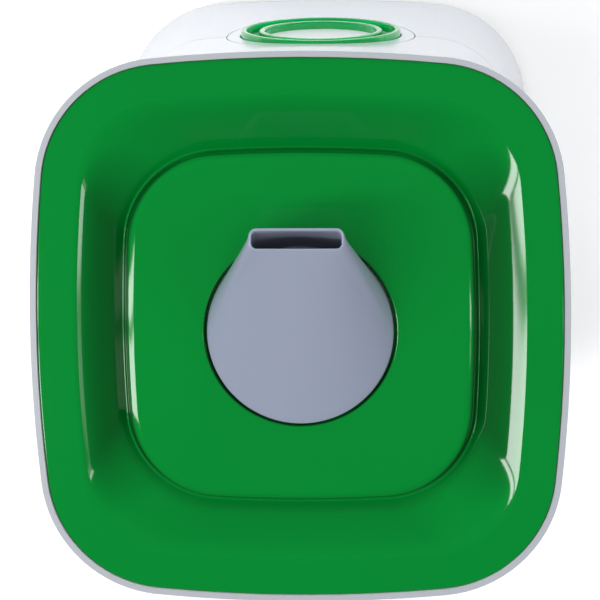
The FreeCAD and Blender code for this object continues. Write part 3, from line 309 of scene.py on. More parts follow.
@dataclass(frozen=True)
class FacingShadedGloss(PolishedPlastic):
    """Polished plastic with painted shade: its colour is darkened on the faces that turn to one axis or
    another.
    """

    # how dark the painted shade leaves the faces turned along X, Y and Z, 1 for no shade
    side_shade: float = 1.0
    end_shade: float = 1.0
    top_shade: float = 1.0
    start: float = 0.1
    stop: float = 0.6

    def grow(self, graph: StuffGraph) -> None:
        """Darken the colour of the turned faces of the polished plastic as painted shade.

        Args:
            graph: Graph of the finish.
        """
        super().grow(graph)
        # painted shade: the colour is scaled down by how far each face turns along each axis
        colour = graph.shader.inputs["Base Color"].links[0].from_socket
        for axis, depth in (("X", self.side_shade), ("Y", self.end_shade), ("Z", self.top_shade)):
            share = graph.spread(graph.facing(axis), 1.0, depth, self.start, self.stop)
            colour = graph.dimmed(colour, share)
        graph.feed("Base Color", colour)


@dataclass(frozen=True)
class ShadedCoolWhite(PolishedPlastic):
    """Polished white of the nozzle with a cool tint, darkened below the body's white as painted shade."""


@dataclass(frozen=True)
class SatinPlastic(Finish):
    """Moulded plastic with the fine spark texture of its tool."""

    roughness: float = 0.42
    spark_scale: float = 2600.0
    spark_height: float = 0.00002

    def grow(self, graph: StuffGraph) -> None:
        """Give the plastic a fine even grain and a cloudy pigment.

        Args:
            graph: Graph of the finish.
        """
        self.pigment(graph, graph.grain(22.0, 3.0))
        self.polish(graph, graph.grain(90.0, 3.0), self.roughness * 0.85, self.roughness * 1.15)
        graph.relief([(graph.grain(self.spark_scale, 2.0), self.spark_height)])
        graph.settle({"IOR": 1.5})


@dataclass(frozen=True)
class ClearPlastic(Finish):
    """Tinted see-through plastic."""

    roughness: float = 0.06
    clear: float = 0.8
    flow_height: float = 0.000004

    def grow(self, graph: StuffGraph) -> None:
        """Give the plastic a tint that thickens in streaks.

        Args:
            graph: Graph of the finish.
        """
        self.pigment(graph, graph.grain(35.0, 3.0))
        self.polish(graph, graph.grain(80.0, 3.0), self.roughness * 0.7, self.roughness * 1.4)
        graph.relief([(graph.grain(120.0, 1.0), self.flow_height)])
        graph.settle({
            "IOR": 1.49, "Transmission Weight": self.clear, "Coat Weight": 0.4, "Coat Roughness": 0.03,
        })


@dataclass(frozen=True)
class SoftRubber(Finish):
    """Rubber or silicone with a dull, slightly dusty skin."""

    roughness: float = 0.65
    pore_height: float = 0.00003

    def grow(self, graph: StuffGraph) -> None:
        """Give the rubber a dusty bloom and fine pores.

        Args:
            graph: Graph of the finish.
        """
        bloom = graph.grain(120.0, 4.0)
        self.pigment(graph, bloom)
        self.polish(graph, bloom, self.roughness * 0.85, self.roughness * 1.15)
        graph.relief([(graph.grain(3200.0, 2.0), self.pore_height)])
        graph.settle({"IOR": 1.45, "Sheen Weight": 0.15})


@dataclass(frozen=True)
class DrawnMetal(Finish):
    """Bare metal with lines left by drawing or milling."""

    roughness: float = 0.3
    stretch: tuple[float, float, float] = (30.0, 30.0, 1600.0)
    line_height: float = 0.00001

    def grow(self, graph: StuffGraph) -> None:
        """Give the metal its fine lines and a little tarnish.

        Args:
            graph: Graph of the finish.
        """
        lines = graph.grain(1.0, 3.0, graph.stretched(self.stretch))
        self.pigment(graph, graph.grain(150.0, 4.0))
        self.polish(graph, lines, self.roughness * 0.7, self.roughness * 1.4)
        graph.relief([(lines, self.line_height)])
        graph.settle({"Metallic": 1.0, "Anisotropic": 0.3})


@dataclass(frozen=True)
class Sintered(Finish):
    """Fired ceramic or ferrite, speckled and matt."""

    roughness: float = 0.5
    metallic: float = 0.0
    speckle_height: float = 0.000015

    def grow(self, graph: StuffGraph) -> None:
        """Give the ceramic its speckle.

        Args:
            graph: Graph of the finish.
        """
        speckle = graph.cells(1500.0)
        self.pigment(graph, speckle, 0.2, 0.8)
        self.polish(graph, speckle, self.roughness * 0.8, self.roughness * 1.2)
        graph.relief([(speckle, self.speckle_height)])
        graph.settle({"Metallic": self.metallic, "IOR": 1.6})


@dataclass(frozen=True)
class SolderMask(Finish):
    """Circuit board with lacquered copper tracks under the mask."""

    track_height: float = 0.00004

    def grow(self, graph: StuffGraph) -> None:
        """Give the board tracks, an uneven polish and a lacquer.

        Args:
            graph: Graph of the finish.
        """
        tracks = graph.cells(260.0, graph.stretched((1.0, 3.0, 1.0)))
        self.pigment(graph, tracks, 0.25, 0.35)
        self.polish(graph, graph.grain(200.0, 2.0), 0.25, 0.4)
        graph.relief([(graph.spread(tracks, 0.0, 1.0, 0.25, 0.35), self.track_height)])
        graph.settle({"IOR": 1.5, "Coat Weight": 0.3, "Coat Roughness": 0.1})


@dataclass(frozen=True)
class OpenFoam(Finish):
    """Open-celled filter foam, its colour on the walls of the cells and its shadow inside them."""

    cell_depth: float = 0.0004

    def grow(self, graph: StuffGraph) -> None:
        """Give the foam its open cells.

        Args:
            graph: Graph of the finish.
        """
        pores = graph.cells(900.0)
        wall = graph.spread(pores, 0.0, 1.0, 0.1, 0.6)
        graph.feed("Base Color", graph.shade(wall, self.shadow, self.colour))
        self.polish(graph, pores, 0.8, 1.0)
        graph.relief([(pores, self.cell_depth)])
        graph.settle({"IOR": 1.4, "Sheen Weight": 0.2})


FINISHES: dict[Slot, Finish] = {
    item.slot: item
    for item in (
        # white gloss: faces turned upwards, such as the rims, are darkened to 0.6 as painted shade
        FacingShadedGloss(Slot.WHITE_GLOSS, (0.64, 0.675, 0.73), (0.625, 0.66, 0.715), 0.2, 0.000003, 0.25,
                  top_shade=0.6, start=0.6, stop=0.95),
        SatinPlastic(Slot.WHITE_SATIN, (0.80, 0.81, 0.84), (0.76, 0.775, 0.81), 0.34),
        # green gloss: faces turned along X, and a little those along Y, such as the channel's slopes, are
        # darkened as painted shade
        FacingShadedGloss(Slot.GREEN_GLOSS, (0.0002, 0.205, 0.026), (0.0002, 0.192, 0.024), 0.06, 0.000003, 0.0,
                  side_shade=0.33, end_shade=0.86, start=0.25, stop=0.62),
        ClearPlastic(Slot.GREEN_CLEAR, (0.008, 0.78, 0.22), (0.004, 0.68, 0.16), 0.06, 0.6),
        ClearPlastic(Slot.SMOKE_CLEAR, (0.86, 0.90, 0.93), (0.80, 0.85, 0.90), 0.12, 0.7),
        SatinPlastic(Slot.GREY_PLASTIC, (0.22, 0.23, 0.25), (0.19, 0.20, 0.22)),
        SatinPlastic(Slot.BLACK_PLASTIC, (0.022, 0.022, 0.025), (0.034, 0.034, 0.036), 0.38),
        SoftRubber(Slot.RUBBER, (0.018, 0.018, 0.02), (0.035, 0.035, 0.036)),
        SoftRubber(Slot.SILICONE, (0.74, 0.77, 0.80), (0.66, 0.70, 0.74), 0.5),
        DrawnMetal(Slot.STEEL, (0.62, 0.62, 0.65), (0.50, 0.50, 0.53), 0.28),
        Sintered(Slot.MAGNET, (0.05, 0.05, 0.055), (0.09, 0.09, 0.095), 0.55),
        Sintered(Slot.PIEZO, (0.72, 0.69, 0.62), (0.62, 0.59, 0.52), 0.35, 0.7),
        DrawnMetal(Slot.ALUMINIUM, (0.78, 0.78, 0.80), (0.68, 0.68, 0.70), 0.35, (1600.0, 30.0, 30.0)),
        SolderMask(Slot.BOARD, (0.02, 0.16, 0.07), (0.03, 0.24, 0.11)),
        OpenFoam(Slot.FOAM, (0.05, 0.05, 0.055), (0.01, 0.01, 0.012)),
    )
}


# the nozzle's white gloss with a cool tint, darkened well below the body's white as painted shade
NOZZLE_SHADED_WHITE = ShadedCoolWhite(Slot.WHITE_GLOSS, (0.27, 0.30, 0.395), (0.266, 0.296, 0.39), 0.32, 0.000002, 0.1)


# ---- shaping ---------------------------------------------------------------------------------


def between(first: Sequence[float], last: Sequence[float], share: float) -> tuple[float, ...]:
    """Numbers part of the way from one list to another.

    Args:
        first: Numbers at share 0.
        last: Numbers at share 1.
        share: How far along, from 0 to 1.

    Returns:
        The mixed numbers.
    """
    return tuple(start + (stop - start) * share for start, stop in zip(first, last))


def softened(corners: Sequence[tuple[float, float, float]], steps: int = 5, loop: bool = True) -> list[Spot]:
    """Round the corners of a profile.

    Args:
        corners: Reach, level and rounding radius of each corner, in millimetres.
        steps: Pieces in each rounding.
        loop: Whether the profile closes on itself.

    Returns:
        Profile points with each corner rounded.
    """
    points: list[Spot] = []
    count = len(corners)
    for index, (reach, level, radius) in enumerate(corners):
        here = Vector((reach, level))
        if radius <= 0 or (not loop and index in (0, count - 1)):
            points.append((reach, level))
            continue
        before = Vector(corners[index - 1][:2]) - here
        after = Vector(corners[(index + 1) % count][:2]) - here
        opening = before.angle(after)
        room = min(before.length, after.length) * CORNER_SHARE
        run = min(radius / math.tan(opening / 2), room)
        bend = run * math.tan(opening / 2)
        inward = (before.normalized() + after.normalized()).normalized()
        middle = here + inward * (bend / math.sin(opening / 2))
        start = here + before.normalized() * run - middle
        turn = start.angle_signed(here + after.normalized() * run - middle)
        for step in range(steps + 1):
            arm = Matrix.Rotation(-turn * step / steps, 2) @ start
            points.append(tuple(middle + arm))
    return points


class Skin:
    """Mesh of rings that all have the same number of points."""

    def __init__(self, name: str) -> None:
        """Start an empty skin.

        Args:
            name: Name of the piece.
        """
        self.name = name
        self.rings: list[list[Vector]] = []

    def lay(self, ring: Sequence[Vector]) -> None:
        """Add a ring, in millimetres."""
        self.rings.append([point * MM for point in ring])

    def sewn(self, loop: bool) -> bpy.types.Object:
        """Join the rings into a mesh object.

        Args:
            loop: Join the last ring to the first; otherwise both ends are capped.

        Returns:
            The new piece, in the scene.
        """
        shape = bmesh.new()
        rows = [[shape.verts.new(point) for point in ring] for ring in self.rings]
        pairs = list(zip(rows, rows[1:]))
        if loop:
            pairs.append((rows[-1], rows[0]))
        for low, high in pairs:
            count = len(low)
            for index in range(count):
                after = (index + 1) % count
                shape.faces.new((low[index], low[after], high[after], high[index]))
        if not loop:
            shape.faces.new(rows[0])
            shape.faces.new(rows[-1])
        bmesh.ops.remove_doubles(shape, verts=shape.verts, dist=SAME_POINT)
        bmesh.ops.recalc_face_normals(shape, faces=shape.faces)
        for face in shape.faces:
            face.smooth = True
        mesh = bpy.data.meshes.new(self.name)
        shape.to_mesh(mesh)
        shape.free()
        piece = bpy.data.objects.new(self.name, mesh)
        bpy.context.scene.collection.objects.link(piece)
        return piece


def dressed(piece: bpy.types.Object, slot: Slot, finish: Finish | None = None) -> bpy.types.Object:
    """Give a new piece its finish.

    Args:
        piece: The piece.
        slot: Its finish slot.
        finish: Variant of the slot's finish, where the piece has one of its own.

    Returns:
        The same piece.
    """
    piece.data.materials.clear()
    piece.data.materials.append((finish or FINISHES[slot]).material())
    return piece


def even_shading(piece: bpy.types.Object) -> None:
    """Let the large faces of a piece set the shading of its roundings.

    Args:
        piece: The piece.
    """
    weighted = piece.modifiers.new("even_shading", "WEIGHTED_NORMAL")
    weighted.weight = 80
    weighted.keep_sharp = True


def settle_in(piece: bpy.types.Object, body: str, *nodes: str) -> None:
    """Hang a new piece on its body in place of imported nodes.

    Args:
        piece: The new piece.
        body: Body it rides on.
        nodes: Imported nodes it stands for.
    """
    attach(piece, body)
    if nodes:
        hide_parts(*nodes)
    LOG.info("built %s on %s, %d faces", piece.name, body, len(piece.data.polygons))


def dress_packed(nodes: dict[str, Slot]) -> None:
    """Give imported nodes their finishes.

    Args:
        nodes: Finish slot of each node.
    """
    for name, slot in nodes.items():
        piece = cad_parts[name]
        for holder in piece.material_slots:
            holder.material = FINISHES[slot].material()
        LOG.info("dressed %s in %s", name, slot.value)


@dataclass
class Tower:
    """The waisted rounded-square form that the base, tank and lid share. Millimetres."""

    half_x: float = 93.0
    half_y: float = 96.0
    height: float = 322.0
    side_arc: float = 531.0
    corner_arc: float = 44.5
    waist: float = 14.0
    waist_level: float = 158.0
    seam_level: float = 82.0
    arc_steps: int = 22

    def draw_in(self, level: float) -> float:
        """How far the sides lie inside the rim outline.

        Args:
            level: Height above the table.

        Returns:
            The inset at that height.
        """
        rise = self.height - self.waist_level
        arc = (rise ** 2 + self.waist ** 2) / (2 * self.waist)
        return self.waist - (arc - math.sqrt(arc ** 2 - (level - self.waist_level) ** 2))

    def ring_of_arcs(self, half_x: float, half_y: float, side: float, corner: float) -> list[Spot]:
        """Outline of four shallow side arcs joined by four corner arcs.

        Args:
            half_x: Half width along X.
            half_y: Half width along Y.
            side: Radius of the sides.
            corner: Radius of the corners.

        Returns:
            Points of the outline, from the +X side round through +Y.
        """
        side_x = Vector((half_x - side, 0.0))
        side_y = Vector((0.0, half_y - side))
        gap = side_y - side_x
        reach = math.sqrt((side - corner) ** 2 - (gap.length / 2) ** 2)
        hub = (side_x + side_y) / 2 + Vector((-gap.y, gap.x)).normalized() * reach
        from_x = hub - side_x
        from_y = hub - side_y
        turn_x = math.atan2(from_x.y, from_x.x)
        turn_y = math.atan2(from_y.y, from_y.x)
        quarter: list[Spot] = []
        for centre, radius, start, stop in (
            (side_x, side, 0.0, turn_x),
            (hub, corner, turn_x, turn_y),
            (side_y, side, turn_y, math.pi / 2),
        ):
            for step in range(self.arc_steps):
                angle = start + (stop - start) * step / self.arc_steps
                quarter.append((centre.x + math.cos(angle) * radius, centre.y + math.sin(angle) * radius))
        top = (0.0, half_y)
        second = [(-x, y) for x, y in reversed(quarter[1:])]
        third = [(-x, -y) for x, y in quarter]
        fourth = [(x, -y) for x, y in reversed(quarter[1:])]
        return quarter + [top] + second + third + [(0.0, -half_y)] + fourth

    def outline(self, inset: float) -> list[Spot]:
        """Rim outline drawn in by an inset.

        Args:
            inset: How far inside the rim outline.

        Returns:
            Points of the outline.
        """
        return self.ring_of_arcs(
            self.half_x - inset, self.half_y - inset, self.side_arc - inset, self.corner_arc - inset
        )

    def lean(self) -> float:
        """Backward lean of the front face at the seam, in radians."""
        change = self.draw_in(self.seam_level + 0.5) - self.draw_in(self.seam_level - 0.5)
        return math.atan(change)

    def face_frame(self) -> Matrix:
        """Frame on the front face at the knob's centre, its Z pointing outwards. Millimetres.

        Returns:
            The frame's matrix.
        """
        centre = Vector((0.0, -(self.half_y - self.draw_in(self.seam_level)), self.seam_level))
        return Matrix.Translation(centre) @ Matrix.Rotation(math.pi / 2 - self.lean(), 4, "X")


def raised(outline: Sequence[Spot], level: float) -> list[Vector]:
    """Flat outline lifted to a level.

    Args:
        outline: Points in plan.
        level: Height above the table.

    Returns:
        The ring.
    """
    return [Vector((x, y, level)) for x, y in outline]


# ---- lid -------------------------------------------------------------------------------------


@dataclass
class Lid:
    """Green lid: flat band, sloping channel and raised pad with the nozzle's seat. Millimetres."""

    tower: Tower
    mist_y: float = 1.4
    face: float = 321.5
    underside: float = 308.5
    gap_inset: float = 2.06
    band: float = 12.2
    skin: float = 2.5
    channel_depth: float = 10.0
    channel_floor: float = 0.8
    slope_bend: float = 4.0
    slope_crease: float = 0.2
    pad_half_x: float = 60.5
    pad_half_y: float = 60.8
    pad_corner: float = 32.0
    pad_level: float = 317.0
    shoulder_run: float = 3.2
    shoulder_drop: float = 1.5
    hole: float = 33.25
    seat_level: float = 311.5
    seat_hole: float = 29.0
    collar_low: float = 297.5
    collar_wall: float = 2.6
    # how far inside the pad's edge its outline starts to turn into the circle of the hole
    pad_blend: float = 9.0
    # rings on the pad, measured in from its shoulder
    pad_runs: tuple[float, ...] = (2.0, 6.0, 12.0, 20.0)
    face_round: float = 0.7
    hole_round: float = 0.6
    inner_round: float = 0.8
    edge_round: float = 0.4
    seat_round: float = 0.3
    slope_steps: int = 18
    shoulder_steps: int = 10

    def band_end(self) -> float:
        """Inner edge of the flat band, measured in from the rim outline."""
        return self.gap_inset + self.band

    def plan(self, inward: float) -> list[Spot]:
        """Outline of the lid in plan at a distance in from the rim along X.

        Args:
            inward: Distance inside the rim outline, measured along X.

        Returns:
            Points of the outline.
        """
        tower = self.tower
        band_end = self.band_end()
        if inward <= band_end:
            return tower.outline(inward)
        side = tower.side_arc - band_end
        ease = self.channel_floor
        foot = tower.half_x - self.pad_half_x - ease
        if inward <= foot:
            outer = (tower.half_x - band_end, tower.half_y - band_end, side, tower.corner_arc - band_end)
            inner = (self.pad_half_x + ease, self.pad_half_y + ease, side + ease, self.pad_corner + ease)
            return tower.ring_of_arcs(*between(outer, inner, (inward - band_end) / (foot - band_end)))
        shrink = min(inward - (tower.half_x - self.pad_half_x), self.pad_blend)
        pad_ring = tower.ring_of_arcs(
            self.pad_half_x - shrink, self.pad_half_y - shrink, side - shrink, self.pad_corner - shrink
        )
        start = tower.half_x - self.pad_half_x + self.pad_blend
        if inward <= start:
            return pad_ring
        share = min(1.0, (inward - start) / (tower.half_x - self.hole - start))
        radius = min(tower.half_x - inward, self.hole)
        points: list[Spot] = []
        for x, y in pad_ring:
            bearing = math.atan2(y - self.mist_y, x)
            circle = (math.cos(bearing) * self.hole, self.mist_y + math.sin(bearing) * self.hole)
            inside = (math.cos(bearing) * radius, self.mist_y + math.sin(bearing) * radius)
            points.append(inside if share >= 1.0 else between((x, y), circle, share))
        return points

    def channel_fall(self, share: float) -> float:
        """How far the channel has fallen below the band.

        Args:
            share: How far across the channel, from the band (0) to the pad (1).

        Returns:
            The fall in millimetres.
        """
        bend = self.slope_bend

        def eased(part: float) -> float:
            """Run that starts level and straightens."""
            return part - (1 - math.exp(-bend * part)) / bend

        curved = eased(share) / eased(1.0)
        return self.channel_depth * (self.slope_crease * share + (1 - self.slope_crease) * curved)

    def slope(self, foot: float) -> list[Spot]:
        """Section of the sloping channel.

        Args:
            foot: Inward distance of the foot of the slope.

        Returns:
            Inward distances and levels.
        """
        start = self.band_end()
        shares = [step / self.slope_steps for step in range(1, self.slope_steps + 1)]
        return [(start + (foot - start) * share, self.face - self.channel_fall(share)) for share in shares]

    def shoulder(self, pad: float) -> list[Spot]:
        """Section of the pad's rounded edge.

        Args:
            pad: Inward distance of the pad's edge.

        Returns:
            Inward distances and levels.
        """
        points: list[Spot] = []
        for step in range(self.shoulder_steps + 1):
            angle = math.pi / 2 * step / self.shoulder_steps
            points.append((
                pad + self.shoulder_run * (1 - math.cos(angle)),
                self.pad_level - self.shoulder_drop * (1 - math.sin(angle)),
            ))
        return points

    def hollow(self, pad: float, foot_draw: float) -> list[tuple[float, float, float]]:
        """Corners of the section from the pad through the hole and back underneath.

        Args:
            pad: Inward distance of the pad's edge.
            foot_draw: Inward distance of the lid's outer foot.

        Returns:
            Inward distance, level and rounding of each corner.
        """
        hole = self.tower.half_x - self.hole
        seat = self.tower.half_x - self.seat_hole
        collar = hole - self.collar_wall
        band_end = self.band_end()
        under_pad = self.pad_level - self.skin
        under_face = self.face - self.skin
        return [
            (pad + self.pad_runs[-1], self.pad_level, 0.0), (hole, self.pad_level, self.hole_round),
            (hole, self.seat_level, self.seat_round), (seat, self.seat_level, self.edge_round),
            (seat, self.collar_low, self.edge_round), (collar, self.collar_low, self.edge_round),
            (collar, under_pad, self.inner_round), (pad + self.skin, under_pad, self.inner_round),
            (pad + self.skin, self.underside, self.edge_round),
            (band_end - self.skin, self.underside, self.edge_round),
            (band_end - self.skin, under_face, self.inner_round),
            (foot_draw + self.skin, under_face, self.inner_round),
            (foot_draw + self.skin, self.underside, self.edge_round),
        ]

    def profile(self) -> list[Spot]:
        """Section through the lid as inward distance and level.

        Returns:
            The closed profile, from the outer foot over the top and back underneath.
        """
        pad = self.tower.half_x - self.pad_half_x
        foot_draw = self.gap_inset + self.tower.draw_in(self.underside)
        top_edge = softened([
            (foot_draw, self.underside, self.edge_round), (self.gap_inset, self.face, self.face_round),
            (self.band_end(), self.face, 0.0),
        ], loop=False)
        flat = [(pad + self.shoulder_run + run, self.pad_level) for run in self.pad_runs]
        under = softened(self.hollow(pad, foot_draw), loop=False)[1:]
        return top_edge + self.slope(pad - self.channel_floor) + self.shoulder(pad) + flat + under

    def build(self) -> bpy.types.Object:
        """Make the lid.

        Returns:
            The lid, dressed and riding on the tank.
        """
        skin = Skin("lid_shaped")
        for inward, level in self.profile():
            skin.lay(raised(self.plan(inward), level))
        piece = dressed(skin.sewn(loop=True), Slot.GREEN_GLOSS)
        even_shading(piece)
        settle_in(piece, "tank", "lid")
        return piece


# ---- nozzle ----------------------------------------------------------------------------------


@dataclass
class Nozzle:
    """White mist nozzle: round foot that narrows into a slot at the front. Millimetres."""

    mist_y: float = 1.4
    foot_level: float = 313.03
    pad_level: float = 317.0
    radius: float = 32.2
    wall: float = 2.4
    neck_radius: float = 28.6
    neck_low: float = 303.5
    rise: float = 26.0
    forward: float = 36.0
    mouth_half_x: float = 16.0
    mouth_half_y: float = 3.9
    mouth_corner: float = 2.6
    mouth_wall: float = 1.0
    # degrees forward of +X at which the mouth's corners and sides start and end on the foot
    stops: tuple[float, ...] = (-4.0, 4.0, 52.0, 62.0, 118.0, 128.0, 176.0, 184.0, 356.0)
    shares: tuple[int, ...] = (6, 22, 8, 26, 8, 22, 6, 60)
    cone_rings: int = 24
    # shares of the cone at which its rings stop short of the lip, outside and inside
    outer_stop: float = 0.985
    inner_stop: float = 0.015
    lip_share: float = 0.3
    lip_dip: float = 0.12
    foot_edge: float = 0.4
    inner_drop: float = 1.0
    inner_step: float = 1.2
    rim_round: float = 0.3
    neck_round: float = 0.2
    edge_round: float = 0.4

    def circle(self, radius: float, level: float) -> list[Vector]:
        """Ring of the round foot.

        Args:
            radius: Radius of the ring.
            level: Height above the table.

        Returns:
            The ring, its points matched to those of the mouth.
        """
        points = []
        for first, last, steps in zip(self.stops, self.stops[1:], self.shares):
            for step in range(steps):
                angle = -math.radians(first + (last - first) * step / steps)
                x = math.cos(angle) * radius
                y = self.mist_y + math.sin(angle) * radius
                points.append(Vector((x, y, level)))
        return points

    def mouth(self, half_x: float, half_y: float, corner: float, level: float) -> list[Vector]:
        """Ring of the slot.

        Args:
            half_x: Half width.
            half_y: Half depth.
            corner: Corner radius.
            level: Height above the table.

        Returns:
            The ring, its points matched to those of the foot.
        """
        flat_x = half_x - corner
        flat_y = half_y - corner
        hubs = (
            (flat_x, flat_y, 90.0), (flat_x, -flat_y, 0.0),
            (-flat_x, -flat_y, -90.0), (-flat_x, flat_y, -180.0),
        )
        sides = (
            ((half_x, flat_y), (half_x, -flat_y)), ((flat_x, -half_y), (-flat_x, -half_y)),
            ((-half_x, -flat_y), (-half_x, flat_y)), ((-flat_x, half_y), (flat_x, half_y)),
        )
        points: list[Spot] = []
        for index, ((hub_x, hub_y, start), (first, last)) in enumerate(zip(hubs, sides)):
            corner_steps = self.shares[index * 2]
            for step in range(corner_steps):
                angle = math.radians(start - 90.0 * step / corner_steps)
                points.append((hub_x + math.cos(angle) * corner, hub_y + math.sin(angle) * corner))
            side_steps = self.shares[index * 2 + 1]
            points.extend(between(first, last, step / side_steps) for step in range(side_steps))
        centre_y = self.mist_y - self.forward
        return [Vector((x, centre_y + y, level)) for x, y in points]

    def cone(self, low: list[Vector], high: list[Vector], start: float, stop: float) -> list[list[Vector]]:
        """Rings on the straight-sided skin between two rings.

        Args:
            low: Ring at share 0.
            high: Ring at share 1.
            start: Share of the first ring.
            stop: Share of the last ring.

        Returns:
            The rings.
        """
        rings = []
        for step in range(self.cone_rings + 1):
            share = start + (stop - start) * step / self.cone_rings
            rings.append([a.lerp(b, share) for a, b in zip(low, high)])
        return rings

    def lip(self, outer: list[Vector], inner: list[Vector]) -> list[list[Vector]]:
        """Rings that round the lip of the mouth over.

        Args:
            outer: Outer ring of the mouth.
            inner: Inner ring of the mouth.

        Returns:
            The rings, from outside to inside.
        """
        middle = [a.lerp(b, 0.5) for a, b in zip(outer, inner)]
        dip = Vector((0.0, 0.0, self.lip_dip))
        sides = [[a.lerp(b, self.lip_share) - dip for a, b in zip(edge, middle)] for edge in (outer, inner)]
        return [sides[0], middle, sides[1]]

    def foot(self) -> list[Spot]:
        """Section of the neck and the foot's edge, from the neck's lower end outside.

        Returns:
            Radii and levels.
        """
        return softened([
            (self.neck_radius, self.neck_low, self.edge_round),
            (self.neck_radius, self.foot_level, self.neck_round),
            (self.radius, self.foot_level, self.rim_round),
            (self.radius, self.pad_level - self.foot_edge, 0.0),
        ], loop=False)[1:]

    def throat(self) -> list[Spot]:
        """Section of the inside below the cone, back to the neck's lower end.

        Returns:
            Radii and levels.
        """
        floor = self.foot_level + self.wall
        return softened([
            (self.radius - self.wall, self.pad_level - self.inner_step, 0.0),
            (self.radius - self.wall, floor, self.neck_round),
            (self.neck_radius - self.wall, floor, self.edge_round),
            (self.neck_radius - self.wall, self.neck_low, self.edge_round),
            (self.neck_radius, self.neck_low, 0.0),
        ], loop=False)

    def build(self) -> bpy.types.Object:
        """Make the nozzle.

        Returns:
            The nozzle, dressed and riding on its own body.
        """
        top = self.pad_level + self.rise
        thin = self.mouth_wall
        outer_foot = self.circle(self.radius, self.pad_level)
        outer_mouth = self.mouth(self.mouth_half_x, self.mouth_half_y, self.mouth_corner, top)
        inner_foot = self.circle(self.radius - self.wall, self.pad_level - self.inner_drop)
        inner_mouth = self.mouth(
            self.mouth_half_x - thin, self.mouth_half_y - thin, self.mouth_corner - thin, top
        )
        rings = [self.circle(radius, level) for radius, level in self.foot()]
        rings += self.cone(outer_foot, outer_mouth, 0.0, self.outer_stop)
        rings += self.lip(outer_mouth, inner_mouth)
        rings += self.cone(inner_mouth, inner_foot, self.inner_stop, 1.0)
        rings += [self.circle(radius, level) for radius, level in self.throat()]
        skin = Skin("nozzle_shaped")
        for ring in rings:
            skin.lay(ring)
        piece = dressed(skin.sewn(loop=True), Slot.WHITE_GLOSS, NOZZLE_SHADED_WHITE)
        even_shading(piece)
        settle_in(piece, "nozzle", "nozzle")
        return piece


# ---- knob ------------------------------------------------------------------------------------


@dataclass
class Knob:
    """Clear green ring round a white cap, turning on the front face. Millimetres."""

    tower: Tower
    radius: float = 33.7
    lip: float = 2.4
    proud: float = 1.8
    inner_lip: float = 26.0
    inner_lip_wall: float = 2.5
    inner_proud: float = 1.4
    groove: float = 2.6
    back: float = 6.0
    cap_recess: float = 1.8
    cap_thick: float = 2.8
    hub_radius: float = 4.6
    hub_back: float = 8.6
    shaft: float = 2.5
    cap_dish: float = 0.5
    # rings on the cap's face, as shares of its radius
    cap_shares: tuple[float, ...] = (0.02, 0.15, 0.3, 0.45, 0.6, 0.75, 0.88)
    rim_round: float = 0.9
    lip_round: float = 0.7
    edge_round: float = 0.3
    back_round: float = 0.4
    hollow_round: float = 0.8
    hub_round: float = 0.6
    spokes: int = 144

    def turned(self, name: str, profile: Sequence[Spot], loop: bool) -> bpy.types.Object:
        """Turn a profile about the knob's axis.

        Args:
            name: Name of the piece.
            profile: Radius and depth points.
            loop: Whether the profile closes on itself.

        Returns:
            The turned piece.
        """
        place = self.tower.face_frame()
        skin = Skin(name)
        for radius, depth in profile:
            ring = []
            for spoke in range(self.spokes):
                angle = 2 * math.pi * spoke / self.spokes
                ring.append(place @ Vector((math.cos(angle) * radius, math.sin(angle) * radius, depth)))
            skin.lay(ring)
        return skin.sewn(loop)

    def ring(self) -> bpy.types.Object:
        """Make the clear green ring.

        Returns:
            The ring.
        """
        hollow = self.inner_lip - self.inner_lip_wall
        trough = self.radius - self.lip
        profile = softened([
            (hollow, -self.back, self.edge_round), (self.radius, -self.back, self.back_round),
            (self.radius, self.proud, self.rim_round), (trough, self.proud, self.lip_round),
            (trough, -self.groove, self.rim_round), (self.inner_lip, -self.groove, self.rim_round),
            (self.inner_lip, self.inner_proud, self.lip_round), (hollow, self.inner_proud, self.hollow_round),
        ])
        piece = dressed(self.turned("knob_ring_shaped", profile, True), Slot.GREEN_CLEAR)
        even_shading(piece)
        settle_in(piece, "knob", "knob_ring")
        return piece

    def cap(self) -> bpy.types.Object:
        """Make the white cap in the middle of the ring.

        Returns:
            The cap.
        """
        edge = self.inner_lip - self.inner_lip_wall
        back = -self.cap_recess - self.cap_thick
        face = [
            (edge * share, -self.cap_recess - self.cap_dish * (1 - share ** 2))
            for share in self.cap_shares
        ]
        rim = softened([
            (*face[-1], 0.0), (edge, -self.cap_recess, self.edge_round), (edge, back, self.edge_round),
            (self.hub_radius, back, self.hub_round), (self.hub_radius, -self.hub_back, self.edge_round),
            (self.shaft, -self.hub_back, 0.0),
        ], loop=False)[1:]
        piece = dressed(self.turned("knob_cap_shaped", face + rim, False), Slot.WHITE_SATIN)
        even_shading(piece)
        settle_in(piece, "knob", "knob_cap")
        return piece

    def build(self) -> None:
        """Make the knob and dress its shaft."""
        self.ring()
        self.cap()
        dress_packed({"knob_shaft": Slot.STEEL})


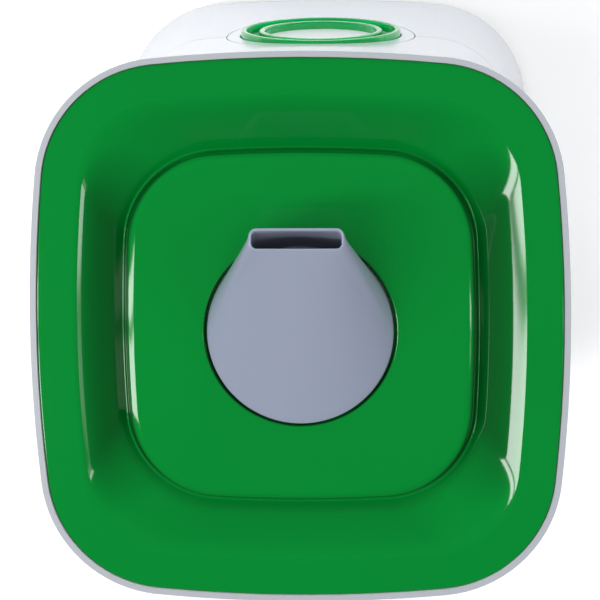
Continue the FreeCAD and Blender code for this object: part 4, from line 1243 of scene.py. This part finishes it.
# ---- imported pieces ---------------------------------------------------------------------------


@dataclass
class BaseUnit:
    """Base with its cover, basin, fan, boards and mist unit."""

    outer: dict[str, Slot] = field(default_factory=lambda: {
        "base_shell": Slot.WHITE_GLOSS, "bottom_cover": Slot.WHITE_SATIN,
        "control_panel": Slot.WHITE_GLOSS, "water_basin": Slot.WHITE_SATIN,
        "panel_housing": Slot.GREY_PLASTIC,
    })
    fittings: dict[str, Slot] = field(default_factory=lambda: {
        "rubber_feet": Slot.RUBBER, "cord_gland": Slot.RUBBER, "transducer_seal": Slot.SILICONE,
        "transducer": Slot.PIEZO, "transducer_retainer": Slot.GREY_PLASTIC,
        "level_sensor": Slot.BLACK_PLASTIC, "air_filter": Slot.FOAM, "air_duct": Slot.GREY_PLASTIC,
        "air_sleeve": Slot.WHITE_SATIN, "fan_housing": Slot.BLACK_PLASTIC,
        "fan_rotor": Slot.BLACK_PLASTIC, "float": Slot.WHITE_SATIN, "float_magnet": Slot.MAGNET,
        "rotary_control": Slot.BLACK_PLASTIC, "transformer": Slot.BLACK_PLASTIC,
        "capacitors": Slot.BLACK_PLASTIC,
    })
    metal: dict[str, Slot] = field(default_factory=lambda: {
        "cover_screws": Slot.STEEL, "basin_screws": Slot.STEEL, "retainer_screws": Slot.STEEL,
        "fan_screws": Slot.STEEL, "board_screws": Slot.STEEL, "fan_motor": Slot.STEEL,
        "fan_shaft": Slot.STEEL, "heat_sink": Slot.ALUMINIUM,
    })
    boards: dict[str, Slot] = field(default_factory=lambda: {
        "driver_board": Slot.BOARD, "power_board": Slot.BOARD, "control_board": Slot.BOARD,
    })

    def build(self) -> None:
        """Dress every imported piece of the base."""
        for group in (self.outer, self.fittings, self.metal, self.boards):
            dress_packed(group)


@dataclass
class TankUnit:
    """Water tank with its mist tube, seals, cap and valve."""

    pieces: dict[str, Slot] = field(default_factory=lambda: {
        "tank_shell": Slot.WHITE_GLOSS, "tank_floor": Slot.WHITE_SATIN, "filler_neck": Slot.WHITE_SATIN,
        "lid_seal": Slot.SILICONE, "mist_tube": Slot.SMOKE_CLEAR,
        "tube_seal": Slot.SILICONE, "tank_cap": Slot.GREEN_GLOSS, "cap_gasket": Slot.SILICONE,
        "valve_stem": Slot.GREY_PLASTIC, "valve_seal": Slot.SILICONE, "valve_spring": Slot.STEEL,
        "nozzle_seal": Slot.SILICONE,
    })

    def build(self) -> None:
        """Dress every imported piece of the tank."""
        dress_packed(self.pieces)


# ---- studio ----------------------------------------------------------------------------------


@dataclass(frozen=True)
class SoftBox:
    """Rectangular studio light that faces a point."""

    name: str
    spot: tuple[float, float, float]
    aim: tuple[float, float, float]
    wide: float
    tall: float
    power: float
    mirrored: bool = True

    def build(self) -> None:
        """Hang the light."""
        lamp = bpy.data.lights.new(self.name, "AREA")
        lamp.shape = "RECTANGLE"
        lamp.size = self.wide
        lamp.size_y = self.tall
        lamp.energy = self.power
        holder = bpy.data.objects.new(self.name, lamp)
        holder.location = self.spot
        direction = Vector(self.aim) - Vector(self.spot)
        holder.rotation_euler = direction.to_track_quat("-Z", "Y").to_euler()
        holder.visible_glossy = self.mirrored
        bpy.context.scene.collection.objects.link(holder)


@dataclass
class Studio:
    """Pale floor, soft lights, surrounding light and camera."""

    floor_half: float = 6.0
    floor_colour: Colour = (0.97, 0.97, 0.975)
    floor_glow: float = 0.12
    low_sky: Colour = (0.95, 0.96, 1.0)
    high_sky: Colour = (0.25, 0.25, 0.26)
    # heights on the sky, from 0 at the horizon to 1 overhead, where it starts and stops fading
    sky_fade: tuple[float, float] = (0.05, 0.5)
    sky_strength: float = 0.3
    sensor: float = 36.0
    lens: float = 168.26
    camera_spot: tuple[float, float, float] = (-0.03904, -0.16913, 1.26917)
    camera_aim: tuple[float, float, float] = (0.00642, 0.01647, 0.160)
    camera_roll: float = 0.42
    boxes: tuple[SoftBox, ...] = (
        SoftBox("key_strip_rear", (0.56, 0.236, 1.16), (-0.075, 0.236, 0.32), 0.098, 0.68, 2.75),
        SoftBox("key_strip_front", (0.56, 0.142, 1.16), (-0.075, 0.142, 0.32), 0.05, 0.68, 1.45),
        SoftBox("fill_strip_front", (-0.51, 0.153, 1.16), (0.078, 0.153, 0.32), 0.034, 0.18, 0.15),
        SoftBox("fill_strip_rear", (-0.51, 0.193, 1.16), (0.078, 0.193, 0.32), 0.024, 0.18, 0.03),
        SoftBox("left_box", (1.6, 0.1, 1.2), (0.0, 0.0, 0.2), 1.2, 0.9, 12.2, False),
        SoftBox("right_box", (-1.6, 0.0, 1.2), (0.0, 0.0, 0.2), 1.2, 0.9, 10.5, False),
        SoftBox("front_box", (0.0, -1.7, 1.0), (0.0, 0.0, 0.1), 1.6, 0.8, 16.2, False),
        SoftBox("rear_box", (0.0, 1.7, 1.2), (0.0, 0.0, 0.2), 1.6, 0.8, 4.9, False),
        SoftBox("ceiling_box", (0.0, -0.2, 2.3), (0.0, 0.0, 0.2), 1.5, 1.5, 17.8, False),
    )

    def floor(self) -> None:
        """Lay the floor."""
        half = self.floor_half
        shape = bmesh.new()
        corners = ((-half, -half), (half, -half), (half, half), (-half, half))
        shape.faces.new([shape.verts.new((x, y, 0.0)) for x, y in corners])
        mesh = bpy.data.meshes.new("floor")
        shape.to_mesh(mesh)
        shape.free()
        floor = bpy.data.objects.new("floor", mesh)
        graph = StuffGraph("floor_paint")
        cloud = graph.spread(graph.grain(3.0, 2.0), 0.0, 1.0)
        paler = between(self.floor_colour, (1, 1, 1), 0.1)
        graph.feed("Base Color", graph.shade(cloud, self.floor_colour, paler))
        graph.settle({"Roughness": 0.7, "Emission Strength": self.floor_glow})
        mesh.materials.append(graph.material)
        bpy.context.scene.collection.objects.link(floor)

    def surroundings(self) -> None:
        """Light from all round that fades towards the ceiling."""
        world = bpy.data.worlds.new("studio")
        world.use_nodes = True
        tree = world.node_tree
        place = tree.nodes.new("ShaderNodeTexCoord").outputs["Generated"]
        split = tree.nodes.new("ShaderNodeSeparateXYZ")
        ramp = tree.nodes.new("ShaderNodeValToRGB")
        for stop, height, colour in zip(
            ramp.color_ramp.elements, self.sky_fade, (self.low_sky, self.high_sky)
        ):
            stop.position = height
            stop.color = (*colour, 1.0)
        tree.links.new(place, split.inputs["Vector"])
        tree.links.new(split.outputs["Z"], ramp.inputs["Fac"])
        tree.links.new(ramp.outputs["Color"], tree.nodes["Background"].inputs["Color"])
        tree.nodes["Background"].inputs["Strength"].default_value = self.sky_strength
        bpy.context.scene.world = world

    def camera(self) -> None:
        """Stand the camera above the tank, a little to the front."""
        spot = Vector(self.camera_spot)
        forward = (Vector(self.camera_aim) - spot).normalized()
        right = forward.cross(Vector((0.0, -1.0, 0.0))).normalized()
        up = right.cross(forward)
        turn = Matrix.Rotation(math.radians(self.camera_roll), 3, forward)
        right = turn @ right
        up = turn @ up
        eye = bpy.data.cameras.new("camera")
        eye.lens = self.lens
        eye.sensor_width = self.sensor
        eye.clip_end = 50.0
        holder = bpy.data.objects.new("camera", eye)
        axes = Matrix((right, up, -forward)).transposed().to_4x4()
        holder.matrix_world = Matrix.Translation(spot) @ axes
        bpy.context.scene.collection.objects.link(holder)
        bpy.context.scene.camera = holder

    def build(self) -> None:
        """Set up the whole studio."""
        self.floor()
        self.surroundings()
        for box in self.boxes:
            box.build()
        self.camera()
        bpy.context.scene.view_settings.view_transform = "Standard"


def main() -> None:
    """Build the humidifier and its studio."""
    logging.basicConfig(level=logging.INFO, format="%(name)s: %(message)s")
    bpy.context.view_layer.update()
    tower = Tower()
    BaseUnit().build()
    TankUnit().build()
    Lid(tower).build()
    Nozzle().build()
    Knob(tower).build()
    Studio().build()


if __name__ == "__main__":
    main()
